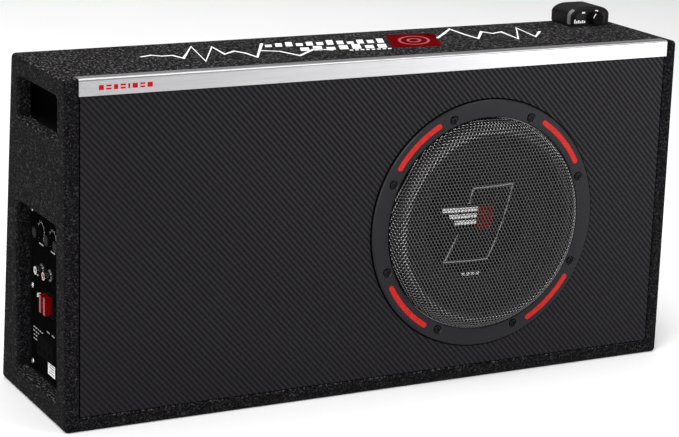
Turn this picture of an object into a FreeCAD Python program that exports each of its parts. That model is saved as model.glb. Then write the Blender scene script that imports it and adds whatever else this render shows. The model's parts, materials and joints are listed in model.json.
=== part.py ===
"""Slim powered car subwoofer: a carpeted wedge enclosure with a ten inch driver, a side-mounted
amplifier and a remote level control that stands on top.

Frame: millimetres, +Z up, +X to the right seen from the front, -Y towards the listener. The origin
is the centre of the enclosure's base. Every function below makes one named piece; identical
fasteners share one node.
"""

import FreeCAD, Part
import math
import os

V = FreeCAD.Vector

# ---- driving dimensions --------------------------------------------------------------------------
WIDTH = 714.0          # enclosure, over the carpet
HEIGHT = 360.0
DEPTH_BASE = 196.0     # front to back at the floor
DEPTH_TOP = 159.0      # the back leans forward to this depth at the top
CARPET = 2.0
BOARD = 12.0           # side, top, bottom and back boards
BAFFLE = 15.0
VINYL = 0.8
VINYL_SET_BACK = 0.7   # vinyl face behind the carpet's front edge

DRIVER_X = 119.0
DRIVER_Z = 174.0
RING_TURN = 2.4        # degrees that the trim ring sits turned clockwise, seen from the front
RING_OUTER = 136.0
RING_INNER = 117.0
RING_PROUD = 3.0       # ring face in front of the vinyl
SCREW_CIRCLE = 124.2
REBATE_R = 134.0
REBATE_DEPTH = 4.0
CUTOUT_R = 113.0
EXCURSION = 8.0        # cone travel each way

PORT_OPENING = (-73.5, 40.0, 295.5, 339.5)   # y and z limits inside the carpet
AMP_OPENING = (-70.0, 46.0, 25.0, 208.0)

REMOTE_X = (289.2, 342.4)
REMOTE_Y = (12.4, 58.0)
REMOTE_TOP = 21.6      # remote's height above the carpet

# ---- worked out from them ------------------------------------------------------------------------
HALF = WIDTH / 2
FRONT = -DEPTH_BASE / 2
LEAN = (DEPTH_BASE - DEPTH_TOP) / HEIGHT       # how far the back comes forward for each mm of height
LEAN_SCALE = math.sqrt(1 + LEAN * LEAN)
SKIN = CARPET + BOARD
INNER_X = HALF - SKIN                          # inner faces of the side boards
VINYL_FACE = FRONT + VINYL_SET_BACK
BAFFLE_FACE = VINYL_FACE + VINYL
BAFFLE_BACK = BAFFLE_FACE + BAFFLE
REBATE_FACE = BAFFLE_FACE + REBATE_DEPTH
GASKET = 1.5
FLANGE = 1.6
FLANGE_FACE = REBATE_FACE - GASKET - FLANGE
GRILLE_STEEL = 0.8
RING_FACE = VINYL_FACE - RING_PROUD


# ---- small helpers -------------------------------------------------------------------------------
def box(x0, x1, y0, y1, z0, z1):
    return Part.makeBox(x1 - x0, y1 - y0, z1 - z0, V(x0, y0, z0))


def rod_x(r, y, z, x0, x1):
    return Part.makeCylinder(r, x1 - x0, V(x0, y, z), V(1, 0, 0))


def rod_y(r, x, z, y0, y1):
    return Part.makeCylinder(r, y1 - y0, V(x, y0, z), V(0, 1, 0))


def rod_z(r, x, y, z0, z1):
    return Part.makeCylinder(r, z1 - z0, V(x, y, z0), V(0, 0, 1))


def tube_y(r_out, r_in, x, z, y0, y1):
    return rod_y(r_out, x, z, y0, y1).cut(rod_y(r_in, x, z, y0 - 1, y1 + 1))


def tube_x(r_out, r_in, y, z, x0, x1):
    return rod_x(r_out, y, z, x0, x1).cut(rod_x(r_in, y, z, x0 - 1, x1 + 1))


def prism_x(outline, x0, x1):
    """An outline of (y, z) points pushed from x0 to x1."""
    points = [V(x0, y, z) for y, z in outline]
    face = Part.Face(Part.makePolygon(points + points[:1]))
    return face.extrude(V(x1 - x0, 0, 0))


def turned_y(outline, x=DRIVER_X, z=DRIVER_Z):
    """A closed outline of (radius, y) points turned about the driver's axis."""
    points = [V(x + r, y, z) for r, y in outline]
    face = Part.Face(Part.makePolygon(points + points[:1]))
    return face.revolve(V(x, 0, z), V(0, 1, 0), 360)


def arc_points(centre, radius, start, end, steps):
    """(radius, y) points on an arc, angles in degrees from the radial direction."""
    found = []
    for i in range(steps + 1):
        a = math.radians(start + (end - start) * i / steps)
        found.append((centre[0] + radius * math.cos(a), centre[1] + radius * math.sin(a)))
    return found


def joined(shapes):
    whole = shapes[0]
    for s in shapes[1:]:
        whole = whole.fuse(s)
    return whole.removeSplitter()


def around_ring(shape, angles):
    """Copies of a shape that stands at the top of the driver's circle, turned about its middle."""
    copies = []
    for a in angles:
        c = shape.copy()
        c.rotate(V(DRIVER_X, 0, DRIVER_Z), V(0, 1, 0), a + RING_TURN)
        copies.append(c)
    return copies


def back_y(z, inset):
    """Y of the leaning back, inset square to its face."""
    return DEPTH_BASE / 2 - LEAN * z - inset * LEAN_SCALE


def leaning_outline(front, inset, low, high):
    """Side view of a slice of the wedge, upright in front and leaning with the back behind."""
    return [(front, low), (back_y(low, inset), low), (back_y(high, inset), high), (front, high)]


def side_outline(inset):
    return leaning_outline(FRONT + inset, inset, inset, HEIGHT - inset)


def grown(limits, by):
    y0, y1, z0, z1 = limits
    return (y0 - by, y1 + by, z0 - by, z1 + by)


def window(limits, x0, x1):
    y0, y1, z0, z1 = limits
    return box(x0, x1, y0, y1, z0, z1)


def softened(shape, radius, wanted):
    """Rounds the edges that the test picks."""
    edges = [e for e in shape.Edges if wanted(e)]
    return shape.makeFillet(radius, edges) if edges else shape


def along(edge, axis):
    if not isinstance(edge.Curve, Part.Line):
        return False
    return abs(abs(edge.Curve.Direction.dot(axis)) - 1) < 1e-6


def rounded_end(edge, x):
    """True for a round edge that lies in the plane at x."""
    return isinstance(edge.Curve, Part.Circle) and abs(edge.CenterOfMass.x - x) < 1e-3


def rounded_face(edge, y):
    """True for a round edge that lies in the plane at y."""
    return isinstance(edge.Curve, Part.Circle) and abs(edge.CenterOfMass.y - y) < 1e-3


# ---- enclosure boards ----------------------------------------------------------------------------
def left_board():
    board = prism_x(side_outline(CARPET), -HALF + CARPET, -INNER_X)
    for opening in (PORT_OPENING, AMP_OPENING):
        board = board.cut(window(grown(opening, CARPET), -HALF, -INNER_X + 1))
    return board


def right_board():
    return prism_x(side_outline(CARPET), INNER_X, HALF - CARPET)


def top_board():
    low, high = HEIGHT - SKIN, HEIGHT - CARPET
    outline = leaning_outline(FRONT + CARPET, SKIN, low, high)
    return prism_x(outline, -INNER_X, INNER_X)


def bottom_board():
    low, high = CARPET, SKIN
    outline = leaning_outline(FRONT + CARPET, SKIN, low, high)
    return prism_x(outline, -INNER_X, INNER_X)


def back_board():
    low, high = CARPET, HEIGHT - CARPET
    outline = [(back_y(low, SKIN), low), (back_y(low, CARPET), low),
               (back_y(high, CARPET), high), (back_y(high, SKIN), high)]
    return prism_x(outline, -INNER_X, INNER_X)


def baffle_limits():
    """x and z limits of the front panel, which leaves room for the tucked carpet."""
    return INNER_X - CARPET, SKIN + CARPET, HEIGHT - SKIN - CARPET


def baffle_board():
    x, low, high = baffle_limits()
    board = box(-x, x, BAFFLE_FACE, BAFFLE_BACK, low, high)
    board = board.cut(rod_y(REBATE_R, DRIVER_X, DRIVER_Z, BAFFLE_FACE - 1, REBATE_FACE))
    board = board.cut(rod_y(CUTOUT_R, DRIVER_X, DRIVER_Z, BAFFLE_FACE, BAFFLE_BACK + 1))
    pilot = rod_y(SCREW_SHANK + 0.05, DRIVER_X, DRIVER_Z + SCREW_CIRCLE, REBATE_FACE - 1, REBATE_FACE + 9.5)
    for hole in around_ring(pilot, RING_SCREW_ANGLES):
        board = board.cut(hole)
    return board


def baffle_vinyl():
    x, low, high = baffle_limits()
    skin = box(-x, x, VINYL_FACE, BAFFLE_FACE, low, high)
    return skin.cut(rod_y(REBATE_R, DRIVER_X, DRIVER_Z, VINYL_FACE - 1, BAFFLE_FACE + 1))


PORT_LENGTH = 403.0
PORT_FLOOR = PORT_OPENING[2] - CARPET


def port_floor_board():
    low, high = PORT_FLOOR - BOARD, PORT_FLOOR
    outline = leaning_outline(BAFFLE_BACK, SKIN, low, high)
    return prism_x(outline, -INNER_X, -INNER_X + PORT_LENGTH)


BRACE_X = (-66.0, -54.0)
BRACE_RAIL = 30.0


def brace_board():
    """A frame between baffle and back, with a window that lets the air through."""
    low, high = SKIN, PORT_FLOOR - BOARD
    outline = leaning_outline(BAFFLE_BACK, SKIN, low, high)
    frame = prism_x(outline, *BRACE_X)
    hole = box(BRACE_X[0] - 1, BRACE_X[1] + 1, BAFFLE_BACK + BRACE_RAIL, back_y(high, SKIN) - BRACE_RAIL,
               low + BRACE_RAIL, high - BRACE_RAIL)
    return frame.cut(softened(hole, 12.0, lambda e: along(e, V(1, 0, 0))))


# ---- carpet, vinyl and trim ----------------------------------------------------------------------
TUCK = BAFFLE + VINYL_SET_BACK + VINYL - 1.5   # how far the carpet goes in beside the baffle


def carpet_side(outer, inner):
    """One side's carpet: outer and inner are the x of its outside face and of the board's inner face."""
    sign = 1 if inner > outer else -1
    face = outer + sign * CARPET
    tuck = inner + sign * CARPET
    plate = prism_x(side_outline(0), min(outer, face), max(outer, face))
    rim = [e for e in plate.Edges if max(abs(e.BoundBox.XMin - outer), abs(e.BoundBox.XMax - outer)) < 1e-6]
    plate = plate.makeFillet(CARPET - 0.3, rim)
    fold = box(min(face, inner), max(face, inner), FRONT, FRONT + CARPET, CARPET, HEIGHT - CARPET)
    tucked = box(min(inner, tuck), max(inner, tuck), FRONT, FRONT + TUCK, SKIN, HEIGHT - SKIN)
    return joined([plate, fold, tucked])


def carpet_left():
    carpet = carpet_side(-HALF, -INNER_X)
    sleeves = []
    for opening in (PORT_OPENING, AMP_OPENING):
        carpet = carpet.cut(window(opening, -HALF - 1, -INNER_X + 1))
        outside = window(grown(opening, CARPET), -HALF + CARPET, -INNER_X)
        sleeves.append(outside.cut(window(opening, -HALF, -INNER_X + 1)))
    return joined([carpet] + sleeves)


def carpet_right():
    return carpet_side(HALF, INNER_X)


def carpet_top():
    high = HEIGHT - CARPET
    outline = [(FRONT, high), (back_y(high, 0), high), (back_y(HEIGHT, 0), HEIGHT), (FRONT, HEIGHT)]
    plate = prism_x(outline, -HALF + CARPET, HALF - CARPET)
    fold = box(-INNER_X, INNER_X, FRONT, FRONT + CARPET, HEIGHT - SKIN, high)
    x = INNER_X - CARPET
    tucked = box(-x, x, FRONT, FRONT + TUCK, HEIGHT - SKIN - CARPET, HEIGHT - SKIN)
    return joined([plate, fold, tucked])


def carpet_bottom():
    outline = [(FRONT, 0), (back_y(0, 0), 0), (back_y(CARPET, 0), CARPET), (FRONT, CARPET)]
    plate = prism_x(outline, -HALF + CARPET, HALF - CARPET)
    fold = box(-INNER_X, INNER_X, FRONT, FRONT + CARPET, CARPET, SKIN)
    x = INNER_X - CARPET
    tucked = box(-x, x, FRONT, FRONT + TUCK, SKIN, SKIN + CARPET)
    return joined([plate, fold, tucked])


def carpet_back():
    low, high = CARPET, HEIGHT - CARPET
    outline = [(back_y(low, CARPET), low), (back_y(low, 0), low),
               (back_y(high, 0), high), (back_y(high, CARPET), high)]
    return prism_x(outline, -HALF + CARPET, HALF - CARPET)


TRIM_METAL = 1.2
TRIM_ROLL = 2.7        # radius of the rolled outer corner
TRIM_DROP = 16.2       # front leg, below the carpet's top
TRIM_DEPTH = 12.4      # top leg, behind the carpet's front


def trim_angle():
    """Brushed aluminium angle along the top front edge, with a rolled outer corner."""
    top, front = HEIGHT + TRIM_METAL, FRONT - TRIM_METAL
    outline = [(front, HEIGHT - TRIM_DROP), (FRONT, HEIGHT - TRIM_DROP), (FRONT, HEIGHT),
               (FRONT + TRIM_DEPTH, HEIGHT), (FRONT + TRIM_DEPTH, top), (front, top)]
    angle = prism_x(outline, -INNER_X, INNER_X)
    bounds = [(e, e.BoundBox) for e in angle.Edges]
    corner = [e for e, b in bounds if b.YMax < front + 1e-3 and b.ZMin > top - 1e-3]
    return angle.makeFillet(TRIM_ROLL, corner)


# ---- driver --------------------------------------------------------------------------------------
COIL_R = 25.4          # outside of the voice coil former
CONE_NECK_Y = -66.0
CONE_EDGE_Y = -95.0
CONE_EDGE_R = 94.0
CONE_SKIN = 1.4
LEDGE_Y = -51.0        # the basket's ledge that the spider is glued to
BASKET_BACK = -42.5
TOP_PLATE = 8.0
MAGNET = 16.0
YOKE_PLATE = 8.0
CAP_R = 62.0


def cone_y(r):
    """Y of the cone's front face at radius r."""
    return CONE_NECK_Y + (CONE_EDGE_Y - CONE_NECK_Y) * (r - COIL_R) / (CONE_EDGE_R - COIL_R)


def driver_gasket():
    ring = tube_y(133.0, 115.0, DRIVER_X, DRIVER_Z, REBATE_FACE - GASKET, REBATE_FACE)
    hole = rod_y(2.2, DRIVER_X, DRIVER_Z + SCREW_CIRCLE, REBATE_FACE - GASKET - 1, REBATE_FACE + 1)
    for h in around_ring(hole, RING_SCREW_ANGLES):
        ring = ring.cut(h)
    return ring


def driver_basket():
    """Pressed steel basket: flange, sloping wall with eight windows, spider ledge and a back plate."""
    t = FLANGE
    seat = FLANGE_FACE + t
    outline = [(109.6, FLANGE_FACE), (133.0, FLANGE_FACE), (133.0, seat), (111.6, seat),
               (111.0, -80.0), (98.0, -56.0), (74.0, LEDGE_Y + t), (62.0, LEDGE_Y + t), (62.0, BASKET_BACK),
               (29.0, BASKET_BACK), (29.0, BASKET_BACK - t), (60.4, BASKET_BACK - t), (60.4, LEDGE_Y),
               (73.4, LEDGE_Y), (97.0, -57.5), (109.4, -80.6)]
    basket = turned_y(outline)
    hole = rod_y(2.2, DRIVER_X, DRIVER_Z + SCREW_CIRCLE, FLANGE_FACE - 1, seat + 1)
    for h in around_ring(hole, RING_SCREW_ANGLES):
        basket = basket.cut(h)
    window_block = box(DRIVER_X - 24, DRIVER_X + 24, -77.0, -58.5, DRIVER_Z + 90, DRIVER_Z + 115)
    for w in around_ring(window_block, [45 * k for k in range(8)]):
        basket = basket.cut(w)
    return basket


def surround():
    """Half-roll rubber surround between the cone's edge and the basket flange."""
    r_in, r_out, t = 95.6, 109.8, 1.2
    middle, radius = (r_in + r_out) / 2, (r_out - r_in) / 2
    foot = FLANGE_FACE - t
    outer = arc_points((middle, foot), radius + t / 2, 180, 360, 16)
    inner = arc_points((middle, foot), radius - t / 2, 360, 180, 16)
    outline = [(90.0, foot), *outer, (115.0, foot), (115.0, FLANGE_FACE), (109.2, FLANGE_FACE),
               *inner, (96.2, FLANGE_FACE), (90.0, FLANGE_FACE)]
    return turned_y(outline)


def cone():
    lip = FLANGE_FACE
    outline = [(COIL_R, CONE_NECK_Y), (88.0, cone_y(88.0)), (90.5, lip), (95.0, lip),
               (95.0, lip + CONE_SKIN), (90.5, lip + CONE_SKIN), (88.0, cone_y(88.0) + CONE_SKIN),
               (COIL_R, CONE_NECK_Y + CONE_SKIN)]
    return turned_y(outline)


def dust_cap():
    """Shallow dome that carries the printed emblem, glued to the cone's face."""
    rim = cone_y(CAP_R)
    rise, skin = 9.0, 1.0
    radius = (CAP_R ** 2 + rise ** 2) / (2 * rise)
    half = math.degrees(math.asin(CAP_R / radius))
    outside = arc_points((0, rim - rise + radius), radius, -90 + half, -90, 10)
    outside = outside[:-1] + [(0, rim - rise)]
    inside = arc_points((0, rim - rise + radius), radius - skin, -90, -90 + half, 10)
    inside = [(0, rim - rise + skin)] + [(r, y) for r, y in inside[1:-1]]
    outline = outside + inside + [(CAP_R - 1.6, cone_y(CAP_R - 1.6))]
    return turned_y(outline)


def spider():
    """Corrugated centring disc between the former and the basket's ledge."""
    r0, r1, t, waves, height = COIL_R, 71.0, 0.6, 6, 1.6
    flat = 62.5
    steps = waves * 8
    front, back = [], []
    for i in range(steps + 1):
        r = r0 + (flat - r0) * i / steps
        y = LEDGE_Y - 1.0 - height * 0.5 * (1 - math.cos(2 * math.pi * waves * i / steps))
        front.append((r, y - t / 2))
        back.append((r, y + t / 2))
    rim_front, rim_back = LEDGE_Y - 1.0 - t / 2, LEDGE_Y
    outline = front + [(r1, rim_front), (r1, rim_back), (flat, rim_back)] + back[::-1]
    return turned_y(outline)


def voice_coil():
    """Former and winding, two solids that are bonded in use."""
    former = tube_y(COIL_R, COIL_R - 0.5, DRIVER_X, DRIVER_Z, CONE_NECK_Y, -30.0)
    winding = tube_y(COIL_R + 1.0, COIL_R, DRIVER_X, DRIVER_Z, -46.0, -31.0)
    return [former, winding]


def top_plate():
    return tube_y(58.0, 27.2, DRIVER_X, DRIVER_Z, BASKET_BACK, BASKET_BACK + TOP_PLATE)


def magnet():
    y = BASKET_BACK + TOP_PLATE
    ring = tube_y(66.0, 33.0, DRIVER_X, DRIVER_Z, y, y + MAGNET)
    return softened(ring, 1.5, lambda e: isinstance(e.Curve, Part.Circle) and e.Curve.Radius > 60)


def yoke():
    """Back plate and vented pole piece, turned from one blank."""
    y = BASKET_BACK + TOP_PLATE + MAGNET
    plate = rod_y(62.0, DRIVER_X, DRIVER_Z, y, y + YOKE_PLATE)
    plate = softened(plate, 2.0, lambda e: isinstance(e.Curve, Part.Circle) and e.CenterOfMass.y > y + 1)
    pole = rod_y(24.2, DRIVER_X, DRIVER_Z, BASKET_BACK, y)
    return joined([plate, pole]).cut(rod_y(7.0, DRIVER_X, DRIVER_Z, BASKET_BACK - 1, y + YOKE_PLATE + 1))


TERMINAL_Z = DRIVER_Z - 20.0


def driver_terminals():
    """Push terminals on the left of the basket: an insulating block with two tags."""
    x = DRIVER_X - 62.0
    block = box(x - 8, x, -49.0, -43.0, TERMINAL_Z - 11, TERMINAL_Z + 11)
    tags = [box(x - 18, x - 8, -47.2, -46.4, TERMINAL_Z + dz - 2.4, TERMINAL_Z + dz + 2.4) for dz in (-6, 6)]
    return [block] + tags


# ---- trim ring and grille ------------------------------------------------------------------------
RING_SCREW_ANGLES = [22.5 + 45 * k for k in range(8)]
ACCENT_ANGLES = [45 + 90 * k for k in range(4)]
ACCENT_R = 126.6
ACCENT_WIDTH = 6.0
ACCENT_HALF = 14.0     # degrees from the middle of an accent to the centre of its round end
ACCENT_DEPTH = 1.2
SCREW_SHANK = 1.8
SCREW_HEAD = 3.7
SINK_DEPTH = 2.2       # pocket for a screw head in the ring's face
GRILLE_EDGE = 121.0
GRILLE_WALL = 116.2
GRILLE_ROLL = 14.0


def accent_slug(width, y0, y1):
    """A bar that follows the ring, with round ends, at the top of the circle."""
    spread = math.radians(ACCENT_HALF)
    outer, inner = ACCENT_R + width / 2, ACCENT_R - width / 2

    def at(r, a):
        return V(DRIVER_X + r * math.sin(a), y0, DRIVER_Z + r * math.cos(a))

    def cap(side):
        centre = at(ACCENT_R, side * spread)
        forward = V(math.cos(spread) * side, 0, -math.sin(spread))
        return centre + forward * (width / 2)

    edges = [Part.Arc(at(outer, -spread), at(outer, 0), at(outer, spread)),
             Part.Arc(at(outer, spread), cap(1), at(inner, spread)),
             Part.Arc(at(inner, spread), at(inner, 0), at(inner, -spread)),
             Part.Arc(at(inner, -spread), cap(-1), at(outer, -spread))]
    wire = Part.Wire([e.toShape() for e in edges])
    return Part.Face(wire).extrude(V(0, y1 - y0, 0))


def trim_ring():
    """Moulded ring over the driver's flange, stepped behind to clamp the grille."""
    seat = FLANGE_FACE
    clamp = FLANGE_FACE - GRILLE_STEEL
    outline = [(RING_INNER, RING_FACE + 0.5), (RING_INNER + 0.8, RING_FACE), (RING_OUTER - 1.2, RING_FACE),
               (RING_OUTER, RING_FACE + 1.2), (RING_OUTER, VINYL_FACE), (133.2, VINYL_FACE), (133.2, seat),
               (GRILLE_EDGE + 0.4, seat), (GRILLE_EDGE + 0.4, clamp), (RING_INNER, clamp)]
    ring = turned_y(outline)
    top = DRIVER_Z + SCREW_CIRCLE
    wide, narrow = SCREW_HEAD + 1.9, SCREW_HEAD + 0.7
    sink = joined([rod_y(narrow, DRIVER_X, top, RING_FACE - 1, RING_FACE + SINK_DEPTH),
                   Part.makeCone(wide, narrow, wide - narrow, V(DRIVER_X, RING_FACE, top), V(0, 1, 0)),
                   rod_y(2.2, DRIVER_X, top, RING_FACE, seat + 1)])
    for s in around_ring(sink, RING_SCREW_ANGLES):
        ring = ring.cut(s)
    groove = accent_slug(ACCENT_WIDTH + 0.2, RING_FACE - 1, RING_FACE + ACCENT_DEPTH)
    for g in around_ring(groove, ACCENT_ANGLES):
        ring = ring.cut(g)
    return ring


def accent_inserts():
    bar = accent_slug(ACCENT_WIDTH, RING_FACE - 0.4, RING_FACE + ACCENT_DEPTH)
    bar = softened(bar, 0.35, lambda e: abs(e.CenterOfMass.y - (RING_FACE - 0.4)) < 1e-3)
    return around_ring(bar, ACCENT_ANGLES)


def cross_recess(radius, y, depth, x, z):
    """A cross slot for a screw head that faces -Y."""
    arm = radius * 0.22
    return joined([box(x - radius * 0.62, x + radius * 0.62, y - 1, y + depth, z - arm, z + arm),
                   box(x - arm, x + arm, y - 1, y + depth, z - radius * 0.62, z + radius * 0.62)])


def ring_screws():
    x, z = DRIVER_X, DRIVER_Z + SCREW_CIRCLE
    back, front = RING_FACE + SINK_DEPTH, RING_FACE + 0.5
    head = rod_y(SCREW_HEAD, x, z, front, back)
    head = softened(head, 0.9, lambda e: rounded_face(e, front))
    head = head.cut(cross_recess(SCREW_HEAD, front, 1.1, x, z))
    shank = rod_y(SCREW_SHANK, x, z, back, REBATE_FACE + 9.0)
    return around_ring(joined([head, shank]), RING_SCREW_ANGLES)


def grille():
    """Pressed steel dome with a clamped rim. Its perforation is a surface finish and isn't cut here."""
    t = GRILLE_STEEL
    clamp = FLANGE_FACE - t
    bend = FLANGE_FACE - 3.0
    centre = (GRILLE_WALL - GRILLE_ROLL, bend)
    outer = arc_points(centre, GRILLE_ROLL, 0, -90, 10)
    inner = arc_points(centre, GRILLE_ROLL - t, -90, 0, 10)
    crown = bend - GRILLE_ROLL - 1.2
    outline = [(GRILLE_EDGE, FLANGE_FACE), (GRILLE_EDGE, clamp), (GRILLE_WALL, clamp), *outer, (0, crown),
               (0, crown + t), *inner, (GRILLE_WALL - t, FLANGE_FACE)]
    return turned_y(outline)


# ---- amplifier -----------------------------------------------------------------------------------
AMP_PLATE = (-66.0, 44.5, 27.0, 206.0)         # y and z limits of the control plate
PLATE_OUT = -341.5                             # its outer face
PLATE_IN = -340.0
GASKET_IN = -339.0
AMP_FRAME_IN = -331.0
AMP_SCREWS = [(y, z) for y in (-60.0, 39.5) for z in (33.5, 117.0, 199.5)]
KNOB_Z = 181.0
KNOB_Y = {"gain": -21.0, "crossover": 14.0, "boost": -47.0}
KNOB_R = 6.0
RCA_Y = (8.0, -16.0)
RCA_Z = 142.0
RCA_R = 4.15           # the part of a phono shell that a plug grips
RCA_TAIL_R = 3.75
JACK_Y = -44.0
FUSE_Y = (-20.0, -8.0)
FUSE_Z = 111.0
LED_AT = (28.0, 138.0)
PHASE_AT = (18.0, 112.0)
PHASE_TRAVEL = 4.0
INPUT_AT = (-43.0, 108.0)
POLE_Y = (-36.0, -21.0, -6.0)
POLE_Z = (55.0, 75.0)
POLE_PROUD = 9.5
WIRE_BORE = 3.0
WIRE_Z = POLE_Z[0] + 6.4
CLAMP_Z = POLE_Z[0] + 15.4
CHASSIS = (-56.0, 35.0, 40.0, 193.0)           # y and z limits of the part behind the plate
CHASSIS_END = -206.0
SINK_START = -333.0
SINK_BASE_Y = CHASSIS[1] - 12.0


def outside(distance):
    """X of a point this far out from the control plate's face; behind the face it is negative."""
    return PLATE_OUT - distance


def amp_mounting_frame():
    """Board frame glued behind the left board, rebated so that the plate sits inside the opening."""
    y0, y1, z0, z1 = grown(AMP_OPENING, 8.0)
    frame = box(-INNER_X, AMP_FRAME_IN, y0, y1, z0, z1)
    frame = frame.cut(window(grown(AMP_PLATE, 0.5), -INNER_X - 1, GASKET_IN))
    frame = frame.cut(window(grown(CHASSIS, 2.0), -INNER_X - 1, AMP_FRAME_IN + 1))
    for y, z in AMP_SCREWS:
        frame = frame.cut(rod_x(1.55, y, z, GASKET_IN - 1, AMP_FRAME_IN - 1))
    return frame


def amp_gasket():
    ring = window(AMP_PLATE, PLATE_IN, GASKET_IN)
    ring = ring.cut(window(grown(CHASSIS, 2.0), PLATE_IN - 1, GASKET_IN + 1))
    for y, z in AMP_SCREWS:
        ring = ring.cut(rod_x(1.7, y, z, PLATE_IN - 1, GASKET_IN + 1))
    return ring


def amp_plate():
    """Control plate with holes for everything that passes through it."""
    plate = window(AMP_PLATE, PLATE_OUT, PLATE_IN)
    plate = softened(plate, 3.0, lambda e: along(e, V(1, 0, 0)))
    holes = [rod_x(2.0, y, z, PLATE_OUT - 1, PLATE_IN + 1) for y, z in AMP_SCREWS]
    holes += [rod_x(3.6, y, KNOB_Z, PLATE_OUT - 1, PLATE_IN + 1) for y in KNOB_Y.values()]
    holes += [rod_x(4.2, y, RCA_Z, PLATE_OUT - 1, PLATE_IN + 1) for y in RCA_Y]
    holes += [box(PLATE_OUT - 1, PLATE_IN + 1, JACK_Y - 7, JACK_Y + 7, RCA_Z - 6.5, RCA_Z + 6.5)]
    holes += [box(PLATE_OUT - 1, PLATE_IN + 1, FUSE_Y[0] - 8, FUSE_Y[1] + 8, FUSE_Z - 13, FUSE_Z + 13)]
    holes += [rod_x(2.6, *LED_AT, PLATE_OUT - 1, PLATE_IN + 1)]
    y, z = PHASE_AT
    holes += [box(PLATE_OUT - 1, PLATE_IN + 1, y - 1.6, y + 1.6, z - 2.6, z + PHASE_TRAVEL + 2.6)]
    y, z = INPUT_AT
    holes += [box(PLATE_OUT - 1, PLATE_IN + 1, y - 10, y + 10, z - 5, z + 5)]
    for h in holes:
        plate = plate.cut(h)
    return plate


def amp_screws():
    screws = []
    for y, z in AMP_SCREWS:
        head = rod_x(3.4, y, z, outside(1.8), PLATE_OUT)
        head = softened(head, 1.2, lambda e: rounded_end(e, outside(1.8)))
        arm, reach = 0.7, 2.1
        slot = joined([box(outside(3), outside(0.8), y - reach, y + reach, z - arm, z + arm),
                       box(outside(3), outside(0.8), y - arm, y + arm, z - reach, z + reach)])
        shank = rod_x(1.5, y, z, PLATE_OUT, AMP_FRAME_IN - 1.5)
        screws.append(joined([head.cut(slot), shank]))
    return screws


def amp_heatsink():
    """Extruded aluminium base along the amplifier's back, with fins that run its length."""
    y0, y1, z0, z1 = CHASSIS
    sink = box(SINK_START, CHASSIS_END, SINK_BASE_Y, SINK_BASE_Y + 4.0, z0, z1)
    count = 12
    pitch = (z1 - z0 - 2.5) / (count - 1)
    for k in range(count):
        low = z0 + pitch * k
        sink = sink.fuse(box(SINK_START, CHASSIS_END, SINK_BASE_Y + 4.0, y1, low, low + 2.5))
    return sink.removeSplitter()


def amp_cover():
    """Folded sheet over the other three sides and the inner end."""
    y0, y1, z0, z1 = CHASSIS
    t = 1.2
    shell = box(PLATE_IN, CHASSIS_END + t, y0, SINK_BASE_Y, z0, z1)
    cover = shell.cut(box(PLATE_IN - 1, CHASSIS_END, y0 + t, SINK_BASE_Y + 1, z0 + t, z1 - t))
    for dz in (-6, 6):
        cover = cover.cut(rod_x(2.6, LEAD_START[1], LEAD_START[2] + dz, CHASSIS_END - 1, CHASSIS_END + t + 1))
    return cover


PCB_Y = 8.0
PCB_X = (-324.0, -212.0)


def amp_pcb():
    return box(*PCB_X, PCB_Y, PCB_Y + 1.6, 46.0, 187.0)


def amp_components():
    """Filter capacitors, a toroidal transformer, two chokes and the output transistors on the board."""
    front = PCB_Y
    parts = []
    for k in range(4):
        parts.append(rod_y(8.0, -230.0, 64.0 + 20.0 * k, front - 30, front))
    core = tube_y(17.0, 8.0, -268.0, 92.0, front - 16, front)
    parts.append(softened(core, 3.0, lambda e: isinstance(e.Curve, Part.Circle)
                          and e.CenterOfMass.y < front - 10))
    for z in (136.0, 160.0):
        parts.append(tube_y(9.5, 4.0, -268.0, z, front - 10, front))
    for k in range(6):
        z = 56.0 + 22.0 * k
        parts.append(box(-316.0, -301.0, front + 1.6, SINK_BASE_Y, z, z + 10.0))
    return parts


def control_knob(name):
    """Knob with its shaft. The pointer is a shallow groove across the face."""
    y = KNOB_Y[name]
    face, back = outside(8.0), outside(0.8)
    knob = rod_x(KNOB_R, y, KNOB_Z, face, back)
    knob = softened(knob, 0.8, lambda e: rounded_end(e, face))
    for k in range(18):
        a = 2 * math.pi * k / 18
        groove = rod_x(0.55, y + KNOB_R * math.cos(a), KNOB_Z + KNOB_R * math.sin(a), face + 1.5, back + 1)
        knob = knob.cut(groove)
    knob = knob.cut(box(face - 1, face + 0.5, y - 0.5, y + 0.5, KNOB_Z + 1.0, KNOB_Z + KNOB_R + 1))
    return joined([knob, rod_x(3.0, y, KNOB_Z, back, outside(-8.1))])


def control_bodies():
    """Bodies behind the plate: a potentiometer with a running bore for each knob, and the phase switch."""
    bodies = []
    for y in KNOB_Y.values():
        body = box(PLATE_IN, outside(-12.5), y - 6, y + 6, KNOB_Z - 7, KNOB_Z + 6)
        bodies.append(body.cut(rod_x(3.05, y, KNOB_Z, PLATE_IN - 1, outside(-8.5))))
    y, z = PHASE_AT
    switch = box(PLATE_IN, outside(-9.5), y - 4, y + 4, z - 6, z + PHASE_TRAVEL + 6)
    slot = box(PLATE_IN - 1, outside(-6.5), y - 1.5, y + 1.5, z - 2.4, z + PHASE_TRAVEL + 2.4)
    bodies.append(switch.cut(slot))
    return bodies


def rca_shells():
    """Nickel shells of the two line inputs, each with a thinner tail behind the part that a plug grips."""
    shells = []
    for y in RCA_Y:
        grip = rod_x(RCA_R, y, RCA_Z, outside(9.0), outside(2.0))
        tail = rod_x(RCA_TAIL_R, y, RCA_Z, outside(2.0), outside(-7.5))
        shells.append(joined([grip, tail]).cut(rod_x(3.4, y, RCA_Z, outside(10.0), outside(-8.5))))
    return shells


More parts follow.
